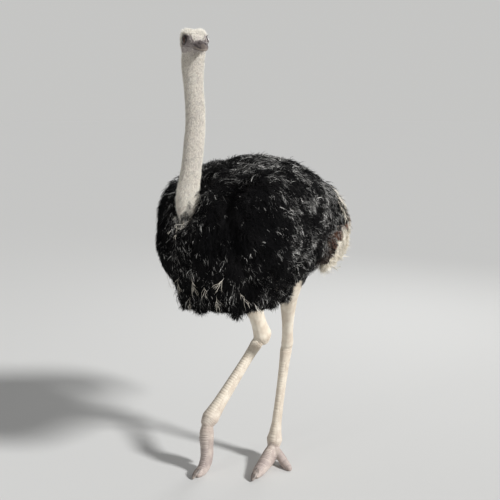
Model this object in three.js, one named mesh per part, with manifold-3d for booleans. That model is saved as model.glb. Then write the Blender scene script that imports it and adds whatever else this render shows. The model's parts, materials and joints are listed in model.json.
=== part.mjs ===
// A common ostrich, an adult male, walking: life size, in millimetres, +Z up.
// The bird faces -Y and its left side is +X. The finished group stands on z = 0,
// with the middle of its bounding box over the origin.
import * as THREE from 'three';
import { mergeVertices } from 'three/addons/utils/BufferGeometryUtils.js';
import Module from 'manifold-3d';

const wasm = await Module();
wasm.setup();

// ---------------------------------------------------------------- driving dimensions
const GAP = 0.35;
const BACK_Z = 1500;
const BELLY_Z = 790;
const BREAST_Y = -478;
const RUMP_Y = 480;
const BODY_MID_Z = 1150;
const TRUNK_HALF_WIDTH = 268;
const BODY_SWAY = 10;
const WING_OUT = 214;
const WING_HALF_THICKNESS = 90;
const WING_LEAN = 0.1;
const NECK_RADIUS = 42;
const NECK_CUT = 0.5;
const NECK_CUT_GAP = 0.0004;
const HEAD_TURN = 63;
const HEAD_NOD = 9;
const HEAD_AT = [19, -358, 1970];
const SKULL_HALF_WIDTH = 52;
const BILL_LENGTH = 134;
const EYE_RADIUS = 23;
const EYE_OUT = 30;
const LEFT = 1;
const RIGHT = -1;
const FLOOR_BLOCK = 2000;
const POLE = 1e-6;
const WELD = 1e-4;

const LOOKS = {
  plumage: { color: 0x17150f, roughness: 0.85, metalness: 0 },
  tail: { color: 0xd9cfb8, roughness: 0.85, metalness: 0 },
  down: { color: 0xb9b2a6, roughness: 0.9, metalness: 0 },
  bill: { color: 0xc7a394, roughness: 0.45, metalness: 0 },
  eye: { color: 0x2a1a12, roughness: 0.08, metalness: 0 },
  hide: { color: 0xcdb9a4, roughness: 0.65, metalness: 0 },
  claw: { color: 0x6b6058, roughness: 0.5, metalness: 0 },
};

// ---------------------------------------------------------------- joining and cutting
function welded(geometry) {
  const copy = geometry.clone();
  copy.deleteAttribute('normal');
  copy.deleteAttribute('uv');
  return mergeVertices(copy, WELD);
}

function solidOf(geometry) {
  const closed = welded(geometry);
  const vertProperties = new Float32Array(closed.attributes.position.array);
  const triVerts = new Uint32Array(closed.index.array);
  return new wasm.Manifold(new wasm.Mesh({ numProp: 3, vertProperties, triVerts }));
}

function geometryOf(solid) {
  const mesh = solid.getMesh();
  const corners = new Float32Array(mesh.vertProperties);
  const geometry = new THREE.BufferGeometry();
  geometry.setAttribute('position', new THREE.BufferAttribute(corners, 3));
  geometry.setIndex(new THREE.BufferAttribute(new Uint32Array(mesh.triVerts), 1));
  geometry.computeVertexNormals();
  return geometry;
}

function cut(geometry, tools) {
  let solid = solidOf(geometry);
  for (const tool of tools) {
    solid = solid.subtract(solidOf(tool));
  }
  return geometryOf(solid);
}

function join(geometries) {
  let solid = solidOf(geometries[0]);
  for (const other of geometries.slice(1)) {
    solid = solid.add(solidOf(other));
  }
  return geometryOf(solid);
}

// ---------------------------------------------------------------- shape makers
// A number that passes smoothly through a list of values, read from 0 to 1.
function profile(values) {
  const curve = new THREE.SplineCurve(values.map((value) => new THREE.Vector2(value, 0)));
  return (at) => curve.getPoint(at).x;
}

// Bends the unit circle towards a rounded square; a power of 2 keeps the circle.
function squared(value, power) {
  return Math.sign(value) * Math.abs(value) ** (2 / power);
}

// A closed body between an upper and a lower outline that share their end points.
// Outlines are lists of [y, z] from the front to the rear, and halfWidth has one value
// for each of their points. Swell moves the whole surface out by a few tenths.
function body({ upper, lower, halfWidth, middle = 0, lean = 0, power = 2, sides, rings, swell = 0 }) {
  const top = new THREE.SplineCurve(upper.map(([y, z]) => new THREE.Vector2(y, z)));
  const bottom = new THREE.SplineCurve(lower.map(([y, z]) => new THREE.Vector2(y, z)));
  const width = profile(halfWidth);
  const geometry = welded(new THREE.SphereGeometry(1, sides, rings));
  const place = geometry.attributes.position;
  for (let i = 0; i < place.count; i += 1) {
    const ahead = THREE.MathUtils.clamp(place.getY(i), -1, 1);
    const at = Math.acos(ahead) / Math.PI;
    const ring = Math.hypot(place.getX(i), place.getZ(i));
    const pole = ring < POLE;
    const across = pole ? 0 : -squared(place.getX(i) / ring, power);
    const up = pole ? 0 : squared(place.getZ(i) / ring, power);
    const high = top.getPoint(at);
    const low = bottom.getPoint(at);
    const y = (high.x + low.x + (high.x - low.x) * up) / 2 - ahead * swell;
    const z = (high.y + low.y + (high.y - low.y) * up) / 2 + up * swell;
    const x = middle + across * (width(at) + swell) + lean * (z - upper[0][1]);
    place.setXYZ(i, x, y, z);
  }
  return geometry;
}

// A closed limb through stations of [x, y, z, half across, half deep]. Its rings stand
// square to the line, and their first axis keeps as near to side as it can. From and to
// take a length of it, as shares of the whole.
function limb({ line, side = [1, 0, 0], from = 0, to = 1, power = 2, sides = 14, rings = 12, swell = 0 }) {
  const centre = new THREE.CatmullRomCurve3(line.map(([x, y, z]) => new THREE.Vector3(x, y, z)));
  const across = profile(line.map((station) => station[3]));
  const deep = profile(line.map((station) => station[4]));
  const sideways = new THREE.Vector3(...side).normalize();
  const geometry = welded(new THREE.CylinderGeometry(1, 1, 1, sides, rings));
  const place = geometry.attributes.position;
  for (let i = 0; i < place.count; i += 1) {
    const share = THREE.MathUtils.clamp(place.getY(i) + 0.5, 0, 1);
    const at = from + (to - from) * share;
    const ends = (share > 1 - POLE) - (share < POLE);
    const tangent = centre.getTangent(at);
    const first = sideways.clone().addScaledVector(tangent, -sideways.dot(tangent)).normalize();
    const second = new THREE.Vector3().crossVectors(first, tangent);
    const point = centre.getPoint(at);
    point.addScaledVector(first, squared(place.getX(i), power) * (across(at) + swell));
    point.addScaledVector(second, squared(place.getZ(i), power) * (deep(at) + swell));
    point.addScaledVector(tangent, ends * swell);
    place.setXYZ(i, point.x, point.y, point.z);
  }
  return geometry;
}

function between(from, to, share) {
  return from.map((value, i) => value + (to[i] - value) * share);
}

// The space under the floor, which takes the soles off flat.
function underFloor() {
  const block = new THREE.BoxGeometry(FLOOR_BLOCK, FLOOR_BLOCK, FLOOR_BLOCK);
  return block.translate(0, 0, -FLOOR_BLOCK / 2);
}

// ---------------------------------------------------------------- trunk
// A hanging lock of plumes: a flat tapering tongue, broad at its root.
function lock({ root, tip, width, thickness, side, swell }) {
  const middle = between(root, tip, 0.5);
  return limb({
    line: [
      [...root, width * 0.8, thickness],
      [...middle, width, thickness],
      [...between(root, tip, 0.82), width * 0.6, thickness * 0.7],
      [...tip, width * 0.14, thickness * 0.2],
    ],
    side,
    sides: 8,
    rings: 4,
    swell,
  });
}

function trunkBody(swell = 0) {
  return body({
    upper: [[BREAST_Y, BODY_MID_Z], [-468, 1240], [-424, 1330], [-335, 1412], [-180, 1472], [0, BACK_Z],
      [180, 1478], [316, 1415], [410, 1330], [464, 1240], [RUMP_Y, BODY_MID_Z]],
    lower: [[BREAST_Y, BODY_MID_Z], [-464, 1060], [-414, 952], [-318, 860], [-175, 804], [-30, BELLY_Z],
      [112, 838], [232, 922], [340, 1000], [432, 1072], [RUMP_Y, BODY_MID_Z]],
    halfWidth: [0, 98, 172, 228, 258, TRUNK_HALF_WIDTH, 252, 214, 164, 100, 0],
    middle: BODY_SWAY,
    power: 2.1,
    sides: 24,
    rings: 16,
    swell,
  });
}

// Locks hang in a half ring round the lower edge of the breast and belly.
const LOCK_COUNT = 12;
const LOCK_RING = { y: -90, halfLength: 290, halfWidth: 200 };
const LOCK_ROOT_Z = 935;
const LOCK_TIP_Z = 800;
const BREAST_RISE = 46;
const FLANK_RISE = 34;

function bellyLocks(swell = 0) {
  return Array.from({ length: LOCK_COUNT }, (_, i) => {
    const turn = THREE.MathUtils.degToRad(-198 + (216 * i) / (LOCK_COUNT - 1));
    const [outX, outY] = [Math.cos(turn), Math.sin(turn)];
    const uneven = [0, 16, 6, 20][i % 4];
    const rise = BREAST_RISE * Math.max(-outY, 0) ** 2 + FLANK_RISE * Math.abs(outX) ** 3 + uneven;
    return lock({
      root: [BODY_SWAY + outX * LOCK_RING.halfWidth, LOCK_RING.y + outY * LOCK_RING.halfLength,
        LOCK_ROOT_Z + rise],
      tip: [BODY_SWAY + outX * (LOCK_RING.halfWidth - 6), LOCK_RING.y + outY * (LOCK_RING.halfLength - 4),
        LOCK_TIP_Z + rise],
      width: 56,
      thickness: 28,
      side: [-outY, outX, 0],
      swell,
    });
  });
}

// ---------------------------------------------------------------- wings
function wingBody(side, swell = 0) {
  return body({
    upper: [[-352, 1225], [-344, 1330], [-286, 1420], [-160, 1464], [0, 1470], [155, 1434], [282, 1360],
      [370, 1258], [396, 1130]],
    lower: [[-352, 1225], [-342, 1125], [-280, 1035], [-150, 966], [-20, 944], [120, 1004], [250, 1012],
      [352, 1048], [396, 1130]],
    halfWidth: [0, 44, 74, WING_HALF_THICKNESS, WING_HALF_THICKNESS, 84, 68, 42, 0],
    middle: BODY_SWAY + side * WING_OUT,
    lean: -WING_LEAN * side,
    sides: 18,
    rings: 11,
    swell,
  });
}

// Long plumes hang from the rear half of the wing, over the thigh and the root of the tail.
const WING_PLUMES = 4;

function wingPlumes(side) {
  return Array.from({ length: WING_PLUMES }, (_, i) => {
    const back = i / (WING_PLUMES - 1);
    return limb({
      line: [
        [BODY_SWAY + side * (222 - 25 * back), 180 + 100 * back, 1140 + 20 * back, 28, 40],
        [BODY_SWAY + side * (228 - 35 * back), 218 + 122 * back, 1062 + 30 * back, 25, 40],
        [BODY_SWAY + side * (214 - 40 * back), 242 + 130 * back, 995 + 20 * back, 18, 28],
        [BODY_SWAY + side * (196 - 38 * back), 254 + 126 * back, 944 + 14 * back, 7, 9],
      ],
      sides: 8,
      rings: 4,
    });
  });
}

// ---------------------------------------------------------------- tail
// A fan of drooping plumes round a short stump.
const TAIL_PLUMES = 5;

function tailFan() {
  const stump = body({
    upper: [[390, 1230], [430, 1310], [505, 1305], [550, 1210], [555, 1130]],
    lower: [[390, 1230], [420, 1150], [470, 1085], [525, 1070], [555, 1130]],
    halfWidth: [0, 84, 104, 80, 0],
    middle: BODY_SWAY,
    sides: 12,
    rings: 7,
  });
  const plumes = Array.from({ length: TAIL_PLUMES }, (_, i) => {
    const spread = (2 * i) / (TAIL_PLUMES - 1) - 1;
    const centred = 1 - spread * spread;
    return limb({
      line: [
        [BODY_SWAY + 56 * spread, 425, 1235, 38, 32],
        [BODY_SWAY + 84 * spread, 478 + 54 * centred, 1228 + 44 * centred, 44, 34],
        [BODY_SWAY + 104 * spread, 516 + 72 * centred, 1140 + 26 * centred, 46, 36],
        [BODY_SWAY + 112 * spread, 520 + 74 * centred, 1036 - 8 * centred, 38, 31],
        [BODY_SWAY + 108 * spread, 494 + 68 * centred, 950 - 34 * centred, 12, 10],
      ],
      sides: 8,
      rings: 5,
    });
  });
  return join([stump, ...plumes]);
}

// ---------------------------------------------------------------- neck
const NECK_LINE = [
  [8, -296, 1060, 160, 128],
  [6, -366, 1180, 104, 104],
  [0, -394, 1290, 52, 60],
  [0, -388, 1400, NECK_RADIUS, 46],
  [3, -365, 1520, 45, 46],
  [0, -345, 1620, NECK_RADIUS, 43],
  [0, -343, 1710, 41, 42],
  [0, -350, 1800, 41, 42],
  [4, -357, 1880, 47, 48],
  [12, -357, 1945, 48, 48],
];

function neckLength(from, to) {
  return limb({ line: NECK_LINE, from, to, sides: 14, rings: Math.round(22 * (to - from)) });
}

// ---------------------------------------------------------------- head
const headPlace = new THREE.Matrix4()
  .makeRotationFromEuler(new THREE.Euler(
    THREE.MathUtils.degToRad(HEAD_NOD), 0, THREE.MathUtils.degToRad(HEAD_TURN), 'ZXY'))
  .setPosition(...HEAD_AT);

function skull(swell = 0) {
  return body({
    upper: [[-68, -6], [-58, 13], [-34, 30], [0, 43], [34, 45], [60, 30], [70, -6]],
    lower: [[-68, -6], [-58, -26], [-32, -37], [2, -45], [36, -52], [60, -40], [70, -6]],
    halfWidth: [0, 30, 43, SKULL_HALF_WIDTH, SKULL_HALF_WIDTH, 38, 0],
    power: 2.5,
    sides: 18,
    rings: 12,
    swell,
  });
}

function upperBill(swell = 0) {
  return body({
    upper: [[-BILL_LENGTH, -18], [-128, -7], [-108, 3], [-80, 10], [-55, 15], [-42, 4]],
    lower: [[-BILL_LENGTH, -18], [-127, -21], [-106, -19], [-80, -17], [-55, -16], [-42, 4]],
    halfWidth: [0, 20, 29, 35, 38, 0],
    power: 2.2,
    sides: 14,
    rings: 8,
    swell,
  });
}

function lowerBill() {
  return body({
    upper: [[-127, -22], [-121, -16], [-102, -10], [-80, -8], [-55, -8], [-42, -20]],
    lower: [[-127, -22], [-120, -26], [-102, -29], [-80, -32], [-55, -35], [-42, -20]],
    halfWidth: [0, 17, 26, 32, 35, 0],
    power: 2.2,
    sides: 14,
    rings: 8,
  });
}

function eyeball(side, swell = 0) {
  const ball = new THREE.SphereGeometry(EYE_RADIUS + swell, 10, 8);
  return ball.translate(side * EYE_OUT, -8, 5);
}

// ---------------------------------------------------------------- legs
// The left leg stands under the body; the right one swings forward with its toe down.
// STANCE moves both legs back under the body, so that its weight falls between the feet.
// Each pair in drumstickHalf and tarsusHalf is the half width and half depth at one of
// the stations, which are shares of the way down.
const STANCE = [-16, 12, 0];
const DRUMSTICK_STATIONS = [0, 0.3, 0.6, 0.82, 0.98, 1.08];
const TARSUS_STATIONS = [-0.06, 0.02, 0.16, 0.5, 0.84, 0.97, 1.06];
const LEG = {
  [LEFT]: {
    knee: [205, 20, 1000],
    hock: [54, 198, 585],
    shin: [52, 194, 578],
    knuckle: [14, 152, 90],
    drumstickHalf: [[76, 82], [44, 47], [29, 31], [25, 28], [27, 33], [17, 21]],
    tarsusHalf: [[18, 21], [27, 32], [23, 27], [20, 25], [24, 28], [39, 39], [24, 24]],
  },
  [RIGHT]: {
    knee: [-60, 15, 950],
    hock: [-99, 199, 594],
    shin: [-108, 169, 576],
    knuckle: [-155, -130, 246],
    drumstickHalf: [[84, 92], [58, 64], [38, 42], [36, 40], [42, 51], [20, 26]],
    tarsusHalf: [[18, 22], [28, 32], [24, 27], [27, 30], [33, 35], [41, 42], [26, 26]],
  },
};

function drumstick(side, swell = 0) {
  const { knee, hock, drumstickHalf } = LEG[side];
  return limb({
    line: drumstickHalf.map((half, i) => [...between(knee, hock, DRUMSTICK_STATIONS[i]), ...half]),
    sides: 12,
    rings: 9,
    swell,
  }).translate(...STANCE);
}

function tarsus(side, swell = 0) {
  const { shin, knuckle, tarsusHalf } = LEG[side];
  return limb({
    line: tarsusHalf.map((half, i) => [...between(shin, knuckle, TARSUS_STATIONS[i]), ...half]),
    sides: 12,
    rings: 11,
    swell,
  }).translate(...STANCE);
}

const TOE = {
  [LEFT]: [
    [14, 142, 70, 26, 28],
    [22, 112, 42, 35, 42],
    [42, 54, 30, 34, 34],
    [58, 4, 23, 31, 27],
    [70, -34, 18, 27, 22],
    [78, -60, 11, 13, 12],
  ],
  [RIGHT]: [
    [-154, -138, 226, 28, 28],
    [-150, -148, 186, 36, 36],
    [-146, -150, 128, 30, 32],
    [-143, -155, 76, 31, 31],
    [-141, -176, 34, 30, 28],
    [-139, -208, 15, 25, 21],
    [-138, -232, 8, 12, 11],
  ],
};

const SIDE_TOE = {
  [LEFT]: [
    [34, 142, 62, 20, 22],
    [66, 138, 42, 22, 24],
    [104, 128, 18, 22, 21],
    [136, 118, 11, 17, 15],
    [152, 112, 7, 8, 8],
  ],
  [RIGHT]: [
    [-170, -122, 206, 20, 22],
    [-180, -112, 160, 20, 21],
    [-184, -108, 112, 19, 19],
    [-184, -112, 76, 14, 14],
    [-183, -118, 60, 7, 7],
  ],
};

const CLAW = {
  [LEFT]: [[64, -22, 38, 9, 6], [74, -52, 30, 15, 9], [81, -76, 17, 12, 8], [85, -88, 7, 4, 3]],
  [RIGHT]: [[-141, -198, 42, 9, 6], [-138, -224, 31, 14, 9], [-136, -246, 17, 11, 7], [-135, -257, 6, 4, 3]],
};

function toe(side, swell = 0) {
  return limb({ line: TOE[side], sides: 10, rings: 9, swell }).translate(...STANCE);
}

function sideToe(side) {
  return limb({ line: SIDE_TOE[side], sides: 9, rings: 6 }).translate(...STANCE);
}

function claw(side) {
  return limb({ line: CLAW[side], sides: 8, rings: 5 }).translate(...STANCE);
}

// ---------------------------------------------------------------- the bird
const bird = new THREE.Group();

function add(name, look, geometry) {
  const mesh = new THREE.Mesh(geometry, new THREE.MeshStandardMaterial(LOOKS[look]));
  mesh.name = name;
  bird.add(mesh);
}

const trunkRoom = trunkBody(GAP);
const headRoom = skull(GAP).applyMatrix4(headPlace);
const eyeRooms = [eyeball(LEFT, GAP), eyeball(RIGHT, GAP)];

const legRooms = [drumstick(LEFT, GAP), drumstick(RIGHT, GAP)];
const locks = bellyLocks().map((one) => cut(one, legRooms));

const lockRooms = bellyLocks(GAP);

add('trunk', 'plumage', join([trunkBody(), ...locks]));
add('tail', 'tail', cut(tailFan(), [trunkRoom]));
add('neck_lower', 'down', cut(neckLength(0, NECK_CUT), [trunkRoom]));
add('neck_upper', 'down', cut(neckLength(NECK_CUT + NECK_CUT_GAP, 1), [headRoom]));

const headPieces = {
  head: cut(skull(), eyeRooms),
  bill_upper: cut(upperBill(), [skull(GAP)]),
  bill_lower: cut(lowerBill(), [skull(GAP), upperBill(GAP)]),
  eye_left: eyeball(LEFT),
  eye_right: eyeball(RIGHT),
};
const headLooks = { head: 'down', bill_upper: 'bill', bill_lower: 'bill', eye_left: 'eye', eye_right: 'eye' };
for (const [name, geometry] of Object.entries(headPieces)) {
  add(name, headLooks[name], geometry.applyMatrix4(headPlace));
}

for (const side of [LEFT, RIGHT]) {
  const word = side === LEFT ? 'left' : 'right';
  const wing = join([wingBody(side), ...wingPlumes(side)]);
  add(`wing_${word}`, 'plumage', cut(wing, [trunkRoom, ...legRooms, ...lockRooms]));
  add(`drumstick_${word}`, 'hide', cut(drumstick(side), [trunkRoom]));
  add(`tarsus_${word}`, 'hide', cut(tarsus(side), [drumstick(side, GAP)]));
  add(`toe_${word}`, 'hide', cut(toe(side), [tarsus(side, GAP), underFloor()]));
  add(`side_toe_${word}`, 'hide', cut(sideToe(side), [tarsus(side, GAP), toe(side, GAP), underFloor()]));
  add(`claw_${word}`, 'claw', cut(claw(side), [toe(side, GAP), underFloor()]));
}

const bounds = new THREE.Box3().setFromObject(bird);
const middle = bounds.getCenter(new THREE.Vector3());
bird.position.set(-middle.x, -middle.y, -bounds.min.z);

export default bird;
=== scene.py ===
# %% [markdown]
# # A common ostrich, walking
# A grown cock ostrich shows little skin: long bare legs, a face and a bill. All the rest is
# plumage, and its plumes are unlike those of other birds. Their barbs don't hook together, so
# every plume is a loose, drooping fringe instead of a stiff vane. We build the bird from the
# inside out: first one skin over all its flesh, then the plumes of body and tail, then the face
# and its down, and last the eyes, the horn, the scutes and the lashes. The solid model gives
# the main forms their size and place, so this first cell loads it and keeps its box.

# %% Load the solid model
import json
import math

import bmesh
import bpy
import numpy as np
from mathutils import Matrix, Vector
from mathutils.bvhtree import BVHTree

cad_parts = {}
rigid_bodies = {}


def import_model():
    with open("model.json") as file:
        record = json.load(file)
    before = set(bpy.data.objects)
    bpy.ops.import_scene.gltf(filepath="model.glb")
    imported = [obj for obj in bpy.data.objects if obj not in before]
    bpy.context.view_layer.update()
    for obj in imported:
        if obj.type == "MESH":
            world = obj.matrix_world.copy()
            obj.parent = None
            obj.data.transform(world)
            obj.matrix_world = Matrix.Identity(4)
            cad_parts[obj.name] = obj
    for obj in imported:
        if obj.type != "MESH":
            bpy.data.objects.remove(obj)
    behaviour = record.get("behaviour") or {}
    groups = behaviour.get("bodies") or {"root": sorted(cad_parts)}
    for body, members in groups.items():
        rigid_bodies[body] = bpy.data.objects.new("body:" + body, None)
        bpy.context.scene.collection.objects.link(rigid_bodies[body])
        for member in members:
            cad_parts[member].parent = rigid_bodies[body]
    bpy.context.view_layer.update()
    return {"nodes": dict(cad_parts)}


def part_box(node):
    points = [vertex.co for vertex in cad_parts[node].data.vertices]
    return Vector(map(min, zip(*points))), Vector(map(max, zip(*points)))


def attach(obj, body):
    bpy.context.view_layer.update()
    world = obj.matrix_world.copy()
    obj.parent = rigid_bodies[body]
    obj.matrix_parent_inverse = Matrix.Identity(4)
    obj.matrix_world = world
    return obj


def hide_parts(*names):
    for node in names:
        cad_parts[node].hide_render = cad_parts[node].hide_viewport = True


for startup_object in list(bpy.data.objects):
    bpy.data.objects.remove(startup_object)
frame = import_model()
SIDES = {"left": 1.0, "right": -1.0}
UP = np.array([0.0, 0.0, 1.0])

# %% [markdown]
# ## Camera
# A bird taller than its viewer still looks tall only if the camera stays at eye level. This one
# stands at a person's eye height, a few paces away, and looks a little down, so that the feet
# are in view too. A lens a little longer than normal lets it stand back, so that neither the
# head nor the feet look too large.

# %% Place the camera
CAMERA_HEADING = math.radians(42)
CAMERA_DISTANCE = 3.57
CAMERA_SIDE = 0.068
CAMERA_HEIGHT = 1.8
CAMERA_PITCH = math.radians(11.6)
LENS_MM = 57.6
SENSOR_MM = 36.0


def add_camera():
    data = bpy.data.cameras.new("camera")
    data.lens = LENS_MM
    data.sensor_width = SENSOR_MM
    camera = bpy.data.objects.new("camera", data)
    back = Vector((math.sin(CAMERA_HEADING), -math.cos(CAMERA_HEADING), 0))
    right = Vector((math.cos(CAMERA_HEADING), math.sin(CAMERA_HEADING), 0))
    camera.location = back * CAMERA_DISTANCE - right * CAMERA_SIDE + Vector((0, 0, CAMERA_HEIGHT))
    camera.rotation_euler = (math.pi / 2 - CAMERA_PITCH, 0, CAMERA_HEADING)
    bpy.context.collection.objects.link(camera)
    bpy.context.scene.camera = camera
    return camera


camera = add_camera()
print("camera at", [round(value, 3) for value in camera.location])

# %% [markdown]
# ## Light and floor
# Black plumage is hard to light: too little light and it turns into a hole, too much from the
# front and it turns grey. A wide, soft sun high on the bird's left rakes over the plumes and gives
# each curl a bright edge. Two weak lamps fill the front and the back, and the pale world does
# the rest.

# %% Light the bird
WORLD_LIGHT = 0.32
SUN = {"at": (6.4, 1.3, 5.6), "strength": 3.8, "spread": math.radians(9)}
LAMPS = {
    "fill": {"at": (-0.6, -4.4, 2.4), "size": 1.1, "power": 18},
    "rim": {"at": (-1.0, 3.4, 3.0), "size": 1.8, "power": 40},
}
LAMP_TARGET = Vector((0, 0, 1.1))
FLOOR_RADIUS = 40.0


def add_lamp(name, at, size=None, power=None, strength=None, spread=None):
    """An area lamp where size and power are given, and a sun where strength and spread are."""
    data = bpy.data.lights.new(name, "AREA" if size else "SUN")
    data.energy = power or strength
    if size:
        data.shape = "DISK"
        data.size = size
    else:
        data.angle = spread
    lamp = bpy.data.objects.new(name, data)
    lamp.location = at
    lamp.rotation_euler = (LAMP_TARGET - Vector(at)).to_track_quat("-Z", "Y").to_euler()
    bpy.context.collection.objects.link(lamp)


def new_nodes(owner):
    owner.use_nodes = True
    owner.node_tree.nodes.clear()
    return owner.node_tree.nodes, owner.node_tree.links


def add_world():
    world = bpy.data.worlds.new("studio")
    nodes, links = new_nodes(world)
    rays = nodes.new("ShaderNodeLightPath")
    lighting = nodes.new("ShaderNodeBackground")
    lighting.inputs["Strength"].default_value = WORLD_LIGHT
    backdrop = nodes.new("ShaderNodeBackground")
    backdrop.inputs["Color"].default_value = (0.56, 0.56, 0.55, 1.0)
    mix = nodes.new("ShaderNodeMixShader")
    links.new(rays.outputs["Is Camera Ray"], mix.inputs[0])
    links.new(lighting.outputs[0], mix.inputs[1])
    links.new(backdrop.outputs[0], mix.inputs[2])
    output = nodes.new("ShaderNodeOutputWorld")
    links.new(mix.outputs[0], output.inputs["Surface"])
    bpy.context.scene.world = world


def add_floor():
    bpy.ops.mesh.primitive_circle_add(vertices=96, radius=FLOOR_RADIUS, fill_type="NGON")
    floor = bpy.context.object
    floor.name = "floor"
    material = bpy.data.materials.new("pale_floor")
    nodes, links = new_nodes(material)
    shader = nodes.new("ShaderNodeBsdfPrincipled")
    shader.inputs["Base Color"].default_value = (0.6, 0.6, 0.59, 1.0)
    shader.inputs["Roughness"].default_value = 0.9
    output = nodes.new("ShaderNodeOutputMaterial")
    links.new(shader.outputs[0], output.inputs["Surface"])
    floor.data.materials.append(material)


add_lamp("sun", **SUN)
for lamp_name, lamp in LAMPS.items():
    add_lamp(lamp_name, **lamp)
add_world()
add_floor()
bpy.context.scene.view_settings.view_transform = "Standard"
print("lit by sun,", ", ".join(LAMPS), "and the world")

# %% [markdown]
# ## Reading the solids
# Three kinds of small tool carry the whole build. Some read a mesh into arrays, because NumPy
# can move a hundred thousand corners at once. Some write arrays back into a mesh. The others
# shape numbers: soft steps, soft bumps, and smooth random values in space, made from a few
# crossing waves, so that neighbours vary together.

# %% Mesh and noise helpers
def corners_of(obj):
    values = np.empty(len(obj.data.vertices) * 3)
    obj.data.vertices.foreach_get("co", values)
    return values.reshape(-1, 3)


def triangles_of(obj):
    obj.data.calc_loop_triangles()
    values = np.empty(len(obj.data.loop_triangles) * 3, dtype=np.int32)
    obj.data.loop_triangles.foreach_get("vertices", values)
    return values.reshape(-1, 3)


def mesh_piece(name, points, faces_by_size):
    """A new object from corner places and arrays of faces, each array with faces of one size."""
    faces_by_size = [np.asarray(faces, dtype=np.int32) for faces in faces_by_size if len(faces)]
    mesh = bpy.data.meshes.new(name)
    mesh.vertices.add(len(points))
    mesh.vertices.foreach_set("co", np.asarray(points, dtype=np.float32).ravel())
    loops = np.concatenate([faces.ravel() for faces in faces_by_size])
    sizes = np.concatenate([np.full(len(faces), faces.shape[1]) for faces in faces_by_size])
    starts = np.concatenate([[0], np.cumsum(sizes)[:-1]])
    mesh.loops.add(len(loops))
    mesh.loops.foreach_set("vertex_index", loops)
    mesh.polygons.add(len(sizes))
    mesh.polygons.foreach_set("loop_start", starts.astype(np.int32))
    mesh.update(calc_edges=True)
    mesh.shade_smooth()
    piece = bpy.data.objects.new(name, mesh)
    bpy.context.collection.objects.link(piece)
    return piece


def applied(piece):
    """A new mesh of the piece with its modifiers applied."""
    shown = piece.evaluated_get(bpy.context.evaluated_depsgraph_get())
    return bpy.data.meshes.new_from_object(shown)


def note_corners(mesh, name, values):
    """Stores four numbers on each corner, for the materials to read."""
    mesh.attributes.new(name, "FLOAT_COLOR", "POINT").data.foreach_set("color", values.ravel())


def unit(vectors):
    return vectors / np.maximum(np.linalg.norm(vectors, axis=-1, keepdims=True), 1e-9)


def smooth_step(low, high, values):
    share = np.clip((values - low) / (high - low), 0, 1)
    return share * share * (3 - 2 * share)


def bump(places, middle, reach):
    """1 at the middle, and 0.37 at the distance reach from it, in each of three directions."""
    return np.exp(-(((places - np.array(middle)) / np.array(reach)) ** 2).sum(axis=1))


def waves(points, size, seed, count=9):
    """Smooth random values, mostly between -1 and 1, which change over roughly size metres."""
    rng = np.random.default_rng(seed)
    total = np.zeros(points.shape[:-1])
    for _ in range(count):
        direction = unit(rng.normal(size=3)) * 2 * math.pi / size * rng.uniform(0.55, 1.5)
        total += np.sin(points @ direction + rng.uniform(0, 2 * math.pi))
    return total / math.sqrt(count)


def box_of(node):
    low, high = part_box(node)
    return np.array(low), np.array(high)


def node_points(*names):
    return np.concatenate([corners_of(frame["nodes"][name]) for name in names])


print("the trunk has", len(node_points("trunk")), "corners")

# %% [markdown]
# ## Spines
# Almost everything on this bird follows a line: down runs along the neck, scales run down the
# legs. So we draw one line through the middle of each limb, from the solid's own corners. Later,
# any point can ask how far along the limb it is, on which side of it, and how far off the line.

# %% Draw the spines
def spine_of(*names, count=15, degree=3):
    """A smooth line through the middle of a limb, from its top to its bottom."""
    points = node_points(*names)
    middle = points.mean(axis=0)
    axes = np.linalg.svd(points - middle, full_matrices=False)[2]
    axes[0] *= -1 if axes[0][2] > 0 else 1
    places = (points - middle) @ axes.T
    along = np.linspace(places[:, 0].min(), places[:, 0].max(), count)
    curve = [along] + [np.polyval(np.polyfit(places[:, 0], places[:, i], degree), along) for i in (1, 2)]
    return middle + np.stack(curve, axis=1) @ axes


def at_share(line, share):
    """The place on a line at a share of its length, from 0 to 1."""
    lengths = np.linalg.norm(np.diff(line, axis=0), axis=1)
    places = np.concatenate([[0], np.cumsum(lengths)]) / lengths.sum()
    return np.array([np.interp(share, places, line[:, i]) for i in range(3)]).T


def around(points, line, front):
    """How far along a line each point is, its turn about it (both 0 to 1), and how far off it is."""
    best = np.full(len(points), np.inf)
    share = np.zeros(len(points))
    spots = np.zeros((len(points), 3))
    runs = np.zeros((len(points), 3))
    lengths = np.linalg.norm(np.diff(line, axis=0), axis=1)
    starts = np.concatenate([[0], np.cumsum(lengths)])
    for i, length in enumerate(lengths):
        run = (line[i + 1] - line[i]) / length
        along = np.clip((points - line[i]) @ run, 0, length)
        spot = line[i] + along[:, None] * run
        far = ((points - spot) ** 2).sum(axis=1)
        nearer = far < best
        best[nearer] = far[nearer]
        share[nearer] = (starts[i] + along[nearer]) / starts[-1]
        spots[nearer] = spot[nearer]
        runs[nearer] = run
    ahead = unit(np.asarray(front) - runs * (runs @ np.asarray(front))[:, None])
    beside = np.cross(runs, ahead)
    out = points - spots
    turn = np.arctan2((out * beside).sum(axis=1), (out * ahead).sum(axis=1)) / (2 * math.pi) + 0.5
    return share, turn, np.sqrt(best)


NECK_FRONT = np.array([0, -1.0, -1.0])
LEG_FRONT = [0, -1.0, 0]
LIMB_PARTS = ("drumstick", "tarsus", "toe", "side_toe")
NECK_ROOM = 0.043


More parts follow.
